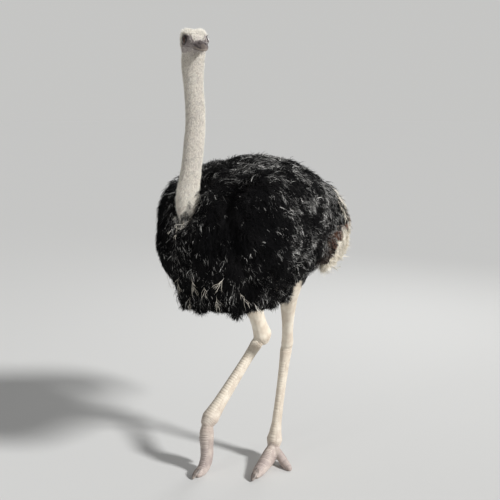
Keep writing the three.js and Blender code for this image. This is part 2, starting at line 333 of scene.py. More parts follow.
def slimmed_neck(points):
    """Draws the foot of the neck in toward its own middle line, where the down is deepest."""
    share, _, off = around(points, SPINES["neck"], NECK_FRONT)
    height = points[:, 2]
    inward = 0.012 * smooth_step(1.62, 1.4, height) + 0.03 * smooth_step(1.42, 1.32, height)
    inward = inward * smooth_step(0.13, 0.08, off) * smooth_step(1.21, 1.27, height) * (height < 1.7)
    reach = np.maximum(off - inward, np.minimum(off, NECK_ROOM))
    spots = at_share(SPINES["neck"], share)
    return spots + (points - spots) * (reach / np.maximum(off, 1e-6))[:, None]


SPINES = {"neck": spine_of("neck_lower", "neck_upper", degree=5)}
for side in SIDES:
    for part in LIMB_PARTS:
        SPINES[f"{part}_{side}"] = spine_of(f"{part}_{side}")
foot = SPINES["neck"][-3]
SPINES["neck"] = np.vstack([SPINES["neck"][:-2], foot + [[0.006, 0.004, -0.06], [0.006, 0.004, -0.12]]])
for name, spine in SPINES.items():
    print(name, "runs from", spine[0].round(3).tolist(), "to", spine[-1].round(3).tolist())

# %% [markdown]
# ## The skin
# One skin covers the bird from the crown to the toes, so no seam can show. We copy the solids of
# flesh, shrink the feathered ones by the depth of the plumage, bridge the neck and thighs into the
# smaller body, and let a voxel remesh melt them into one surface. The remesh leaves small steps.
# Plain smoothing would thin the toes, so each pass inward is followed by one outward. Last, the
# faces under the plumage are made fewer.

# %% Melt the flesh into one surface
BODY_SHRINK = np.array([0.77, 0.86, 0.80])
TAIL_SHRINK = 0.42
SKIN_VOXEL = 0.0045
WING_TUCK = 0.016
NECK_BRIDGE = [0.042, 0.07, 0.14]
THIGH_BRIDGE = [0.028, 0.056, 0.1]
SKIN_PASSES = 22
HIDDEN_FACES_KEPT = 0.45
BODY_LOW, BODY_HIGH = box_of("trunk")
BODY_MIDDLE = (BODY_LOW + BODY_HIGH) / 2


def flesh(node, shrink=1.0, about=(0, 0, 0)):
    about = np.array(about)
    solid = frame["nodes"][node]
    return about + (corners_of(solid) - about) * shrink, triangles_of(solid)


def tube(line, radii, sides=20):
    """A closed tube along a line, with its own radius at each point."""
    line = np.asarray(line, dtype=float)
    tangents = unit(np.gradient(line, axis=0))
    first = unit(np.cross(tangents, [0.3, 1.0, 0.2]))
    second = np.cross(tangents, first)
    turn = np.linspace(0, 2 * math.pi, sides, endpoint=False)
    ring = np.cos(turn)[None, :, None] * first[:, None] + np.sin(turn)[None, :, None] * second[:, None]
    points = (line[:, None] + ring * np.asarray(radii)[:, None, None]).reshape(-1, 3)
    faces = []
    for i in range(len(line) - 1):
        for j in range(sides):
            a, b = i * sides + j, i * sides + (j + 1) % sides
            faces += [[a, b, b + sides], [a, b + sides, a + sides]]
    points = np.concatenate([points, line[:1], line[-1:]])
    top, bottom = len(points) - 2, len(points) - 1
    last = (len(line) - 1) * sides
    for j in range(sides):
        k = (j + 1) % sides
        faces += [[top, k, j], [bottom, last + j, last + k]]
    return points, np.array(faces)


def bridge(start, middle, end, radii):
    """A tube on a soft bend, to carry a limb on into the body."""
    share = np.linspace(0, 1, 9)[:, None]
    line = (1 - share) ** 2 * start + 2 * share * (1 - share) * middle + share ** 2 * end
    return tube(line, np.interp(share[:, 0], [0, 0.5, 1], radii))


def melted(name, shapes, voxel):
    offset = np.cumsum([0] + [len(points) for points, _ in shapes])
    points = np.concatenate([points for points, _ in shapes])
    faces = np.concatenate([faces + start for (_, faces), start in zip(shapes, offset)])
    rough = mesh_piece(name + "_rough", points, [faces])
    remesh = rough.modifiers.new("melt", "REMESH")
    remesh.mode = "VOXEL"
    remesh.voxel_size = voxel
    mesh = applied(rough)
    bpy.data.objects.remove(rough)
    piece = bpy.data.objects.new(name, mesh)
    bpy.context.collection.objects.link(piece)
    return piece


def edges_of(piece):
    values = np.empty(len(piece.data.edges) * 2, dtype=np.int32)
    piece.data.edges.foreach_get("vertices", values)
    return values.reshape(-1, 2)


def relaxed(points, edges, passes, hold=None):
    """Smooths in pairs of passes, inward then outward, so that thin limbs keep their girth."""
    starts = np.concatenate([edges[:, 0], edges[:, 1]])
    ends = np.concatenate([edges[:, 1], edges[:, 0]])
    links = np.bincount(starts, minlength=len(points))[:, None]
    strength = 1.0 if hold is None else (1 - hold)[:, None]
    for step in range(passes * 2):
        near = np.stack([np.bincount(starts, points[ends, i], len(points)) for i in range(3)], axis=1)
        pull = 0.5 if step % 2 == 0 else -0.52
        points = points + pull * strength * (near / np.maximum(links, 1) - points)
    return points


def set_corners(piece, points):
    piece.data.vertices.foreach_set("co", np.asarray(points, dtype=np.float32).ravel())
    piece.data.update()


def flesh_shapes():
    shapes = [flesh("trunk", BODY_SHRINK, BODY_MIDDLE)]
    for name, side in SIDES.items():
        points, faces = flesh(f"wing_{name}", BODY_SHRINK, BODY_MIDDLE)
        shapes.append((points - [side * WING_TUCK, 0, 0], faces))
    low, high = box_of("tail")
    stump = [(low[0] + high[0]) / 2, low[1] - 0.12, high[2] - 0.06]
    shapes.append(flesh("tail", TAIL_SHRINK, stump))
    shapes += [flesh(node) for node in ("neck_lower", "neck_upper", "head")]
    neck = SPINES["neck"]
    chest = BODY_MIDDLE + [0, -0.2, -0.05]
    shapes.append(bridge(neck[-5], neck[-1], chest, NECK_BRIDGE))
    for name, side in SIDES.items():
        shapes += [flesh(f"{part}_{name}") for part in LIMB_PARTS]
        thigh = SPINES[f"drumstick_{name}"]
        hip = BODY_MIDDLE + [side * 0.06, 0.0, 0.0]
        knee = thigh[0] * 0.65 + hip * 0.35
        shapes.append(bridge(thigh[3], knee, hip, THIGH_BRIDGE))
    return shapes


def thinned(piece, covered, ratio):
    """Fewer, larger faces where most are out of sight."""
    group = piece.vertex_groups.new(name="covered")
    group.add(np.nonzero(covered)[0].tolist(), 1.0, "REPLACE")
    fewer = piece.modifiers.new("thin", "DECIMATE")
    fewer.ratio = ratio
    fewer.vertex_group = "covered"
    mesh = applied(piece)
    piece.modifiers.clear()
    piece.vertex_groups.clear()
    piece.data = mesh


def refined(piece, inside):
    """Splits every edge whose two ends are inside, for finer shapes there."""
    work = bmesh.new()
    work.from_mesh(piece.data)
    edges = [edge for edge in work.edges if inside[edge.verts[0].index] and inside[edge.verts[1].index]]
    bmesh.ops.subdivide_edges(work, edges=edges, cuts=1, use_grid_fill=True)
    work.to_mesh(piece.data)
    work.free()


def under_plumage(points):
    """The skin from the upper thighs to the foot of the neck, nearly all of it under plumage."""
    return (points[:, 2] > 0.86) & (points[:, 2] < 1.4) & (points[:, 1] > -0.42)


skin = melted("skin", flesh_shapes(), SKIN_VOXEL)
skin_points = relaxed(corners_of(skin), edges_of(skin), SKIN_PASSES)
set_corners(skin, skin_points)
before = len(skin.data.polygons)
thinned(skin, under_plumage(skin_points), HIDDEN_FACES_KEPT)
print("the skin has", len(skin.data.polygons), "faces, down from", before)

# %% [markdown]
# ## The outside of the plumage
# The plumage hides the body, but it has a clear outer shape of its own. We melt the feathered
# solids into a second, softer surface and keep it only as a guide: a plume will rise from
# beneath it, reach it and then run along it, so that the finished coat is about as full as the
# solid model.

# %% Make the coat's guide surface
GUIDE_VOXEL = 0.011
GUIDE_PASSES = 6
NECK_DOWN_END = 1.27


class Guide:
    """A surface that can be asked for its nearest point, and that points can be scattered on."""

    def __init__(self, points, faces):
        self.points = points
        self.faces = faces
        self.tree = BVHTree.FromPolygons(points.tolist(), faces.tolist())

    def nearest(self, places):
        found = [self.tree.find_nearest(place)[:2] for place in places.tolist()]
        return np.array([spot for spot, _ in found]), np.array([normal for _, normal in found])

    def measured(self):
        """The three corners of every face, and its area."""
        a, b, c = (self.points[self.faces[:, i]] for i in range(3))
        return (a, b, c), np.linalg.norm(np.cross(b - a, c - a), axis=1) / 2

    def dropped(self, rng, areas, count):
        """Random places on the faces, with as many on each as its share of the areas given."""
        (a, b, c), _ = self.measured()
        pick = rng.choice(len(areas), count, p=areas / areas.sum())
        u, v = rng.random((2, count, 1))
        fold = u + v > 1
        u, v = np.where(fold, 1 - u, u), np.where(fold, 1 - v, v)
        return a[pick] + u * (b - a)[pick] + v * (c - a)[pick]

    def scattered(self, spacing, seed, keep, tries=5):
        """Random places on the surface, nearly all at least 0.8 of the spacing apart."""
        rng = np.random.default_rng(seed)
        _, areas = self.measured()
        places = self.dropped(rng, areas, int(areas.sum() / spacing ** 2 * tries))
        places = places[keep(places)]
        cells = np.floor(places / spacing).astype(int)
        taken = {}
        chosen = []
        for i, (x, y, z) in enumerate(cells.tolist()):
            around_it = [taken.get((x + dx, y + dy, z + dz)) for dx in (-1, 0, 1) for dy in (-1, 0, 1)
                         for dz in (-1, 0, 1)]
            near = [j for j in around_it if j is not None]
            if near and (((places[near] - places[i]) ** 2).sum(axis=1) < (spacing * 0.8) ** 2).any():
                continue
            taken[(x, y, z)] = i
            chosen.append(i)
        return places[chosen]

    def sprinkled(self, count, seed, keep):
        """As many random places as asked, all on faces whose middles are to be kept."""
        rng = np.random.default_rng(seed)
        (a, b, c), areas = self.measured()
        return self.dropped(rng, areas * keep((a + b + c) / 3), count)


def guide_of(piece, passes):
    points = slimmed_neck(relaxed(corners_of(piece), edges_of(piece), passes))
    faces = triangles_of(piece)
    bpy.data.objects.remove(piece)
    return Guide(points, faces)


COAT_NODES = ("trunk", "wing_left", "wing_right", "tail", "neck_lower")
coat_shapes = [flesh(node) for node in COAT_NODES]
coat = guide_of(melted("coat_guide", coat_shapes, GUIDE_VOXEL), GUIDE_PASSES)
print("the coat's guide has", len(coat.faces), "triangles")

# %% [markdown]
# ## A plume
# An ostrich plume is a bent shaft with a loose barb every millimetre or so on both sides. We
# can't afford them all, so each barb here stands for a small lock of them: a thin pointed blade
# that leaves the shaft at an angle, bends toward the tip and droops. One function makes any
# number of plumes from their shafts, for the body, wings and tail alike, and records how far
# along its blade each corner is and a random tint, for the materials to use.

# %% Grow plumes from their shafts
BLADE_TAPER = np.array([0.8, 1.0, 0.7])
BLADE_CORNERS = 7
BLADE_TRIANGLES = 5
PATCH = 0.003


def along_shaft(values, places):
    """Reads values kept at even steps of each shaft, at places from 0 to 1 along it."""
    steps = values.shape[1] - 1
    scaled = np.clip(places, 0, 1) * steps
    low = np.minimum(scaled.astype(int), steps - 1)
    share = (scaled - low)[..., None]
    row = np.arange(len(values))[:, None]
    return values[row, low] * (1 - share) + values[row, low + 1] * share


def plumes(shafts, normals, roots_uv, barbs, barb_length, blade, wild, rng, spread=(62, 22), droop=0.35,
           bare=0.12, ragged=0.25, shaft_width=0.0009):
    """Blades and shafts for many plumes, each as wild as asked: corners, faces, tone and UV arrays."""
    count = len(shafts)
    wild = np.broadcast_to(wild, count)
    tangents = unit(np.gradient(shafts, axis=1))
    sideways = unit(np.cross(tangents, normals))
    half = np.tile((np.arange(barbs) + 0.5) / barbs, 2)
    side = np.repeat([1.0, -1.0], barbs)
    place = bare + (1 - bare) * half[None] + rng.uniform(-0.5, 0.5, (count, 2 * barbs)) / barbs * 0.9
    base = along_shaft(shafts, place)
    along = along_shaft(tangents, place)
    out = along_shaft(sideways, place) * side[None, :, None]
    lift = along_shaft(normals, place)
    angle = np.radians(spread[0] + (spread[1] - spread[0]) * np.clip(place, 0, 1))
    angle = (angle * rng.uniform(0.75, 1.25, angle.shape))[..., None]
    tuft_droop = droop * rng.uniform(0.4, 1.5, (count, 2 * barbs, 1))
    heading = unit(np.cos(angle) * along + np.sin(angle) * out + lift * rng.normal(0.04, 0.16, angle.shape))
    fullness = np.sin(math.pi * np.clip(0.18 + 0.8 * place, 0, 1)) ** 0.55
    length = barb_length[:, None] * fullness * rng.uniform(1 - ragged, 1 + ragged, place.shape)
    step = (length / 3)[..., None]
    twist = rng.normal(0, 0.3, (3, count, 2 * barbs, 3)) * wild[:, None, None]
    points = [base]
    for k in range(3):
        points.append(points[-1] + heading * step)
        pull = along * 0.75 - lift * tuft_droop * (0.4 + 0.3 * k) - UP * 0.22 * (k + 1)
        heading = unit(heading + pull + twist[k])
    across = unit(np.cross(points[1] - points[0], lift + rng.normal(0, 0.45, lift.shape)))
    width = blade * rng.uniform(0.7, 1.35, place.shape)[..., None]
    rails = [points[k] + across * width * BLADE_TAPER[k] * s for k in range(3) for s in (-0.5, 0.5)]
    corners = np.stack(rails + [points[3]], axis=2)
    blade_along = np.array([0, 0, 1, 1, 2, 2, 3]) / 3
    flat = count * 2 * barbs
    start = (np.arange(flat) * BLADE_CORNERS)[:, None]
    quads = np.concatenate([start + [0, 1, 3, 2], start + [2, 3, 5, 4]])
    tips = start + [4, 5, 6]
    tint = np.repeat(rng.random(count), 2 * barbs)
    tone = np.stack([np.repeat(tint, BLADE_CORNERS), np.tile(blade_along, flat),
                     np.repeat(rng.random(flat), BLADE_CORNERS),
                     np.repeat(wild, 2 * barbs * BLADE_CORNERS)], axis=1)
    slot = np.tile(np.arange(2 * barbs) / (2 * barbs), count)
    across_slot = np.tile([0, 0.5, 0, 0.5, 0, 0.5, 0.25], flat) / (2 * barbs)
    inset = np.stack([np.repeat(slot, BLADE_CORNERS) + across_slot,
                      np.tile(blade_along, flat)], axis=1) - 0.5
    uv = np.repeat(roots_uv, 2 * barbs * BLADE_CORNERS, axis=0) + inset * PATCH
    steps = shafts.shape[1]
    taper = np.linspace(1, 0.35, steps)[None, :, None] * shaft_width
    rods = np.stack([shafts - sideways * taper, shafts + sideways * taper], axis=2).reshape(-1, 3)
    rod_start = (np.arange(count)[:, None] * steps * 2 + np.arange(steps - 1)[None] * 2).reshape(-1, 1)
    rod_quads = rod_start + [0, 1, 3, 2] + flat * BLADE_CORNERS
    rod_share = np.tile(np.repeat(np.linspace(0, 1, steps), 2), count)
    rod_tone = np.stack([np.repeat(rng.random(count), steps * 2), rod_share * 0.4,
                         np.full(count * steps * 2, 0.9), np.repeat(wild, steps * 2)], axis=1)
    rod_uv = np.repeat(roots_uv, steps * 2, axis=0)
    rod_uv = rod_uv + np.stack([np.tile([-0.05, 0.05], count * steps), rod_share - 0.5], axis=1) * PATCH
    return {
        "corners": np.concatenate([corners.reshape(-1, 3), rods]),
        "quads": np.concatenate([quads, rod_quads]),
        "tips": tips,
        "tone": np.concatenate([tone, rod_tone]),
        "uv": np.concatenate([uv, rod_uv]),
    }


def dressed(name, grown, material):
    """Turns grown arrays into a piece that rides on the bird, with its tone and its UV map."""
    piece = mesh_piece(name, grown["corners"], [grown["quads"], grown["tips"]])
    mesh = piece.data
    note_corners(mesh, "tone", grown["tone"])
    index = np.empty(len(mesh.loops), dtype=np.int32)
    mesh.loops.foreach_get("vertex_index", index)
    mesh.uv_layers.new(name="OFBake").data.foreach_set("uv", grown["uv"][index].ravel())
    mesh.materials.append(material)
    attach(piece, "root")
    return piece


print("a blade is made of", BLADE_TRIANGLES, "triangles")

# %% [markdown]
# ## Shader tools
# Materials are small networks of nodes. A helper that adds a node and feeds its inputs in one
# line keeps them readable. One group of nodes serves all plumes. It reads the tone that each of
# them carries and turns it into colour: a dark and a light shade from tuft to tuft, a tip that
# weather has bleached and that is made paler still as painted highlight where the coat is meant
# to look lit, and a painted highlight on a few blades, as if they caught the light.

# %% Node helpers and the plume colour group
def put(tree, kind, *values, **settings):
    """Adds a node, applies its settings, and feeds its inputs in order from sockets or values."""
    node = tree.nodes.new("ShaderNode" + kind)
    for key, value in settings.items():
        setattr(node, key, value)
    for i, value in enumerate(values):
        if isinstance(value, bpy.types.NodeSocket):
            tree.links.new(value, node.inputs[i])
        elif value is not None:
            node.inputs[i].default_value = value
    return node


def worked(tree, kind, a, b):
    """One step of arithmetic, named as the Math node names it."""
    return put(tree, "Math", a, b, operation=kind, use_clamp=False).outputs[0]


def times(tree, a, b):
    return worked(tree, "MULTIPLY", a, b)


def plus(tree, a, b):
    return worked(tree, "ADD", a, b)


def noise(tree, place, scale, detail):
    return put(tree, "TexNoise", place, None, scale, detail).outputs[0]


def object_place(tree):
    return put(tree, "TexCoord").outputs["Object"]


def ramp(tree, value, low, high):
    """0 below low, 1 above high, and smooth between."""
    return put(tree, "MapRange", value, low, high, 0.0, 1.0, interpolation_type="SMOOTHSTEP").outputs[0]


def blend(tree, share, a, b):
    node = put(tree, "Mix", share, data_type="RGBA")
    for socket, value in ((node.inputs[6], a), (node.inputs[7], b)):
        if isinstance(value, bpy.types.NodeSocket):
            tree.links.new(value, socket)
        else:
            socket.default_value = value
    return node.outputs[2]


def shader_group(name, inputs, outputs):
    """An empty group with named inputs and outputs: sockets are (name, kind, value)."""
    tree = bpy.data.node_groups.new(name, "ShaderNodeTree")
    for label, kind, value in inputs:
        socket = tree.interface.new_socket(label, in_out="INPUT", socket_type="NodeSocket" + kind)
        socket.default_value = value
    for label, kind in outputs:
        tree.interface.new_socket(label, in_out="OUTPUT", socket_type="NodeSocket" + kind)
    return tree, tree.nodes.new("NodeGroupInput").outputs


def shade(*values):
    return (*values, 1.0)


def plume_colour_group():
    tree, given = shader_group(
        "plume_colour",
        [("Dark", "Color", shade(0, 0, 0)), ("Light", "Color", shade(0, 0, 0)),
         ("Tip", "Color", shade(0, 0, 0)), ("Tip share", "Float", 0.3), ("Glints", "Float", 0.1)],
        [("Color", "Color"), ("Along", "Float"), ("Glint", "Float")])
    tone = put(tree, "Attribute", attribute_name="tone")
    split = put(tree, "SeparateColor", tone.outputs["Color"])
    tint, along, blade = split.outputs
    wild = tone.outputs["Alpha"]
    place = object_place(tree)
    patchy = noise(tree, place, 9.0, 3.0)
    mixed = plus(tree, times(tree, tint, 0.6), times(tree, blade, 0.4))
    mixed = times(tree, mixed, ramp(tree, patchy, 0.3, 0.66))
    body = blend(tree, mixed, given["Dark"], given["Light"])
    # Pale tips: bleaching by weather, raised as painted highlight where the plume's wild value is high.
    bleach_and_sheen = times(tree, ramp(tree, along, 0.35, 1.0), given["Tip share"])
    bleach_and_sheen = times(tree, bleach_and_sheen, times(tree, ramp(tree, tint, 0.2, 0.9), wild))
    body = blend(tree, bleach_and_sheen, body, given["Tip"])
    # Painted highlight: in patches, a share of the blades takes the pale tip colour, as if they caught the
    # light.
    lit = ramp(tree, noise(tree, place, 14.0, 3.0), 0.4, 0.6)
    lit = times(tree, times(tree, lit, wild), ramp(tree, tint, -0.3, 1.0))
    edge = worked(tree, "SUBTRACT", 1.0, times(tree, given["Glints"], lit))
    glint = worked(tree, "GREATER_THAN", blade, edge)
    glint = times(tree, glint, ramp(tree, along, 0.0, 0.3))
    bright = put(tree, "MapRange", worked(tree, "POWER", tint, 2.6), 0.0, 1.0, 0.1, 1.0).outputs[0]
    body = blend(tree, times(tree, glint, bright), body, given["Tip"])
    result = tree.nodes.new("NodeGroupOutput")
    tree.links.new(body, result.inputs["Color"])
    tree.links.new(along, result.inputs["Along"])
    tree.links.new(glint, result.inputs["Glint"])
    return tree


PLUME_COLOUR = plume_colour_group()


def new_material(name, **plain):
    """A material with one Principled shader, whose plain values sit on the shader itself."""
    material = bpy.data.materials.new(name)
    material.use_nodes = True
    tree = material.node_tree
    tree.nodes.clear()
    shader = tree.nodes.new("ShaderNodeBsdfPrincipled")
    for label, value in plain.items():
        shader.inputs[label.replace("_", " ")].default_value = value
    output = tree.nodes.new("ShaderNodeOutputMaterial")
    tree.links.new(shader.outputs[0], output.inputs["Surface"])
    return material, tree, shader


def roughened(tree, shader, value, low, high):
    rough = put(tree, "MapRange", value, 0.0, 1.0, low, high)
    tree.links.new(rough.outputs[0], shader.inputs["Roughness"])


def bumped(tree, shader, height, strength, depth):
    """Relief in the material: where height is 1 the surface seems to stand out by depth."""
    relief = tree.nodes.new("ShaderNodeBump")
    relief.inputs["Strength"].default_value = strength
    relief.inputs["Distance"].default_value = depth
    tree.links.new(height, relief.inputs["Height"])
    tree.links.new(relief.outputs[0], shader.inputs["Normal"])


def plume_material(name, dark, light, tip, tip_share, glints, dull=0.72, glossy=0.5):
    material, tree, shader = new_material(name, Specular_IOR_Level=0.06)
    colour = tree.nodes.new("ShaderNodeGroup")
    colour.node_tree = PLUME_COLOUR
    values = {"Dark": dark, "Light": light, "Tip": tip, "Tip share": tip_share, "Glints": glints}
    for label, value in values.items():
        colour.inputs[label].default_value = value
    tree.links.new(colour.outputs["Color"], shader.inputs["Base Color"])
    roughened(tree, shader, colour.outputs["Glint"], dull, glossy)
    return material


# The tip colour of each plume material serves both for bleached tips and for painted highlights; glints
# sets how many blades get such a painted highlight.
BLACK = plume_material("black_plumage", shade(0.002, 0.002, 0.0024), shade(0.009, 0.0085, 0.009),
                       shade(0.74, 0.73, 0.7), tip_share=0.08, glints=0.6)
BROWN = plume_material("brown_plumage", shade(0.01, 0.007, 0.006), shade(0.055, 0.036, 0.03),
                       shade(0.42, 0.34, 0.29), tip_share=0.3, glints=0.25)
CREAM = plume_material("cream_plumage", shade(0.76, 0.7, 0.59), shade(0.95, 0.91, 0.83),
                       shade(0.92, 0.9, 0.84), tip_share=0.4, glints=0.1, dull=0.75, glossy=0.6)
RUSTY = plume_material("rusty_plumage", shade(0.1, 0.05, 0.035), shade(0.34, 0.2, 0.15),
                       shade(0.62, 0.5, 0.4), tip_share=0.5, glints=0.1, dull=0.75, glossy=0.6)
print("made", len(bpy.data.materials), "materials")

# %% [markdown]
# ## Combing
# Plumes lie back along the body and hang down its sides. To comb them we start each one on the
# guide surface and let it take short steps the way the coat lies, going back to the surface after
# every step. Its root sinks toward the skin. Under the belly it lets go of the surface and hangs.
# Slow waves over the whole bird turn neighbours the same way and lift some of them a little. Then
# the ends of neighbours are drawn together, and the coat parts into locks.

# %% Tools that comb shafts over a surface
SHAFT_STEPS = 7
BODY_AXIS = np.array([[BODY_MIDDLE[0], BODY_LOW[1] - 0.05, BODY_MIDDLE[2]],
                      [BODY_MIDDLE[0], BODY_HIGH[1] + 0.3, BODY_MIDDLE[2]]])


def body_uv(places):
    share, turn, _ = around(places, BODY_AXIS, -UP)
    return np.column_stack([turn, share * 0.6 + 0.4]) * 0.98 + 0.01


def turned(vectors, axes, angles):
    cosine, sine = np.cos(angles)[:, None], np.sin(angles)[:, None]
    upright = axes * (axes * vectors).sum(axis=1)[:, None]
    return vectors * cosine + np.cross(axes, vectors) * sine + upright * (1 - cosine)


def combed(guide, starts, lie, length, lifts, swirl, hang):
    """Shafts that run along a guide surface the way the coat lies, and the surface's normals."""
    places, normals = guide.nearest(starts)
    heading = turned(unit(lie(places)), normals, swirl)
    step = (length / (SHAFT_STEPS - 1))[:, None]
    shafts, tops = [], []
    for k in range(SHAFT_STEPS):
        shafts.append(places + normals * lifts[:, k:k + 1])
        tops.append(normals)
        ahead = heading - normals * (heading * normals).sum(axis=1)[:, None]
        flat = np.maximum(np.linalg.norm(ahead, axis=1, keepdims=True), 0.35)
        loose = smooth_step(-0.15, -0.8, normals[:, 2])[:, None]
        free = places + unit(heading + [0, 0, -0.6]) * step * 0.8
        clung, clung_normals = guide.nearest(places + ahead / flat * step)
        onward = clung * (1 - loose) + free * loose
        under, _ = guide.nearest(onward)
        drop = np.linalg.norm(onward - under, axis=1, keepdims=True)
        onward = under + (onward - under) * np.minimum(1, hang[:, None] / np.maximum(drop, 1e-6))
        normals = unit(clung_normals * (1 - loose) + normals * loose)
        heading = unit(unit(onward - places) + turned(unit(lie(onward)), normals, swirl) * 0.35)
        places = onward
    return np.stack(shafts, axis=1), np.stack(tops, axis=1)


def locked(starts, shafts, spacing, strength, rng):
    """Draws the ends of neighbouring shafts together, so that the coat parts into locks."""
    leaders = []
    for i in rng.permutation(len(starts)).tolist():
        if not leaders or ((starts[leaders] - starts[i]) ** 2).sum(axis=1).min() > spacing ** 2:
            leaders.append(i)
    leaders = np.array(leaders)
    far = ((starts[:, None] - starts[leaders][None]) ** 2).sum(axis=2)
    leader = leaders[far.argmin(axis=1)]
    share = np.linspace(0, 1, shafts.shape[1]) ** 1.5
    pull = np.broadcast_to(strength, len(starts))[:, None, None] * share[None, :, None]
    return shafts + (shafts[leader] - shafts) * pull


def swirled(starts, amount, rng):
    """How far each shaft turns aside from the lie: neighbours alike, with some chance in it."""
    return amount * (waves(starts, 0.16, 5) * 0.7 + rng.normal(0, 0.55, len(starts)))


print("each shaft takes", SHAFT_STEPS, "steps")

# %% [markdown]
# ## The black coat
# The plumes are shortest and sleekest on the shoulders and grow longer and wilder toward the
# rump and the belly. Two numbers are worked out for each plume from where it grows. The first,
# its wildness, sets how long it is and how far it stands off. The second sets how much its blades
# curl, how pale their tips are, partly from bleaching and partly as painted highlight, and how
# many blades get a painted highlight, as if they caught the light. Toward the tail the black
# turns brown low down and rusty above that. Short plumes round the foot of the neck break up
# the edge between black and white.

# %% Grow the black plumes
COAT_LIE = np.array([0.0, 0.6, -0.8])
TAIL_LOW, TAIL_HIGH = box_of("tail")
TAIL_TOP = 1.2
BODY_SPACING = 0.0165
BODY_BARBS = 14
BODY_BLADE = 0.002
FINE_BLADE = 0.0014
BROWN_BELOW = 1.13
FLAT_LIFTS = np.array([-0.012, -0.004, -0.001, 0.0, 0.001, 0.002, 0.003])
BELLY_ROOM = 0.036
FLANK_ROOM = 0.02
PIECE_LIMIT = 195000


def body_lie(places):
    lie = np.tile(COAT_LIE, (len(places), 1))
    lie[:, 0] += 0.9 * (places[:, 0] - BODY_MIDDLE[0])
    chest = smooth_step(BODY_LOW[1] + 0.25, BODY_LOW[1], places[:, 1])
    lie[:, 1] -= 0.75 * chest
    return unit(lie)


def collar_height(places):
    """Where white down gives way to black plumes, a little higher or lower round the neck."""
    return NECK_DOWN_END + 0.024 * waves(places * [1, 1, 0.3], 0.035, 6)


def on_neck(places, reach=0.06):
    _, _, off = around(places, SPINES["neck"], NECK_FRONT)
    return (off < reach) & (places[:, 2] > collar_height(places))


def tail_reach(places):
    return 0.74 * np.abs(places[:, 0]) + 0.67 * places[:, 1] - 0.212 - 0.4 * (places[:, 2] - 1.05)


def on_tail(places):
    """The tail fluffs out behind and beside the wing tips, more so lower down."""
    top = TAIL_TOP + 0.022 * waves(places * [1, 1, 0.3], 0.07, 14)
    return (places[:, 2] < top) & (places[:, 1] > 0.15) & (tail_reach(places) > 0.0)


def on_body(places):
    return ~on_tail(places) & ~on_neck(places)


def beside_body(places):
    """Places with both sides of the body laid over each other."""
    return np.column_stack([np.abs(places[:, 0] - BODY_MIDDLE[0]), places[:, 1], places[:, 2]])


def wildness(places):
    """Sleek on the shoulders, wild on the rump, the belly and the lower edge of the wings."""
    low = smooth_step(1.2, 0.95, places[:, 2])
    back = smooth_step(-0.05, 0.3, places[:, 1])
    beside = beside_body(places)
    ridge = smooth_step(0.13, 0.04, beside[:, 0]) * smooth_step(1.3, 1.36, places[:, 2])
    patchy = waves(places, 0.1, 21) * 0.12
    shoulder = bump(beside, (0.22, -0.19, 1.27), (0.2, 0.22, 0.18))
    return np.clip(0.45 + 0.45 * low + 0.6 * back + 0.3 * ridge - 0.75 * shoulder + patchy, 0.05, 1.1)


def weathering_and_glints(places):
    """How much painted highlight the blades get, how far they curl and how pale their tips: few on the
    shoulders and below, most on ridge and rump.
    """
    beside = beside_body(places)
    sleek = bump(beside, (0.2, -0.42, 1.29), (0.18, 0.18, 0.2))
    low = smooth_step(1.15, 1.0, places[:, 2])
    back = smooth_step(-0.34, 0.0, places[:, 1])
    ridge = smooth_step(0.24, 0.1, beside[:, 0]) * smooth_step(1.4, 1.46, places[:, 2])
    patchy = waves(places, 0.1, 21) * 0.12
    return np.clip(0.42 - 0.2 * low + 0.75 * back + 0.65 * ridge - 0.6 * sleek + patchy, 0.04, 1.5)


def in_pieces(name, starts, shafts, tops, uv, barbs, barb_length, blade, wild, material, slot, rng,
              **shape):
    """Grows plumes and splits them over as many pieces as the limit asks, from front to back."""
    per_plume = 2 * barbs * BLADE_TRIANGLES + 2 * (SHAFT_STEPS - 1)
    count = math.ceil(len(starts) * per_plume / PIECE_LIMIT)
    order = np.argsort(starts[:, 1], kind="stable")
    for number, chunk in enumerate(np.array_split(order, count)):
        grown = plumes(shafts[chunk], tops[chunk], uv[chunk], barbs, barb_length[chunk], blade,
                       wild[chunk], rng, **shape)
        dressed(f"{name}_{number + 1}", grown, material)
    print(name, "has", len(starts), "plumes in", count, "pieces")


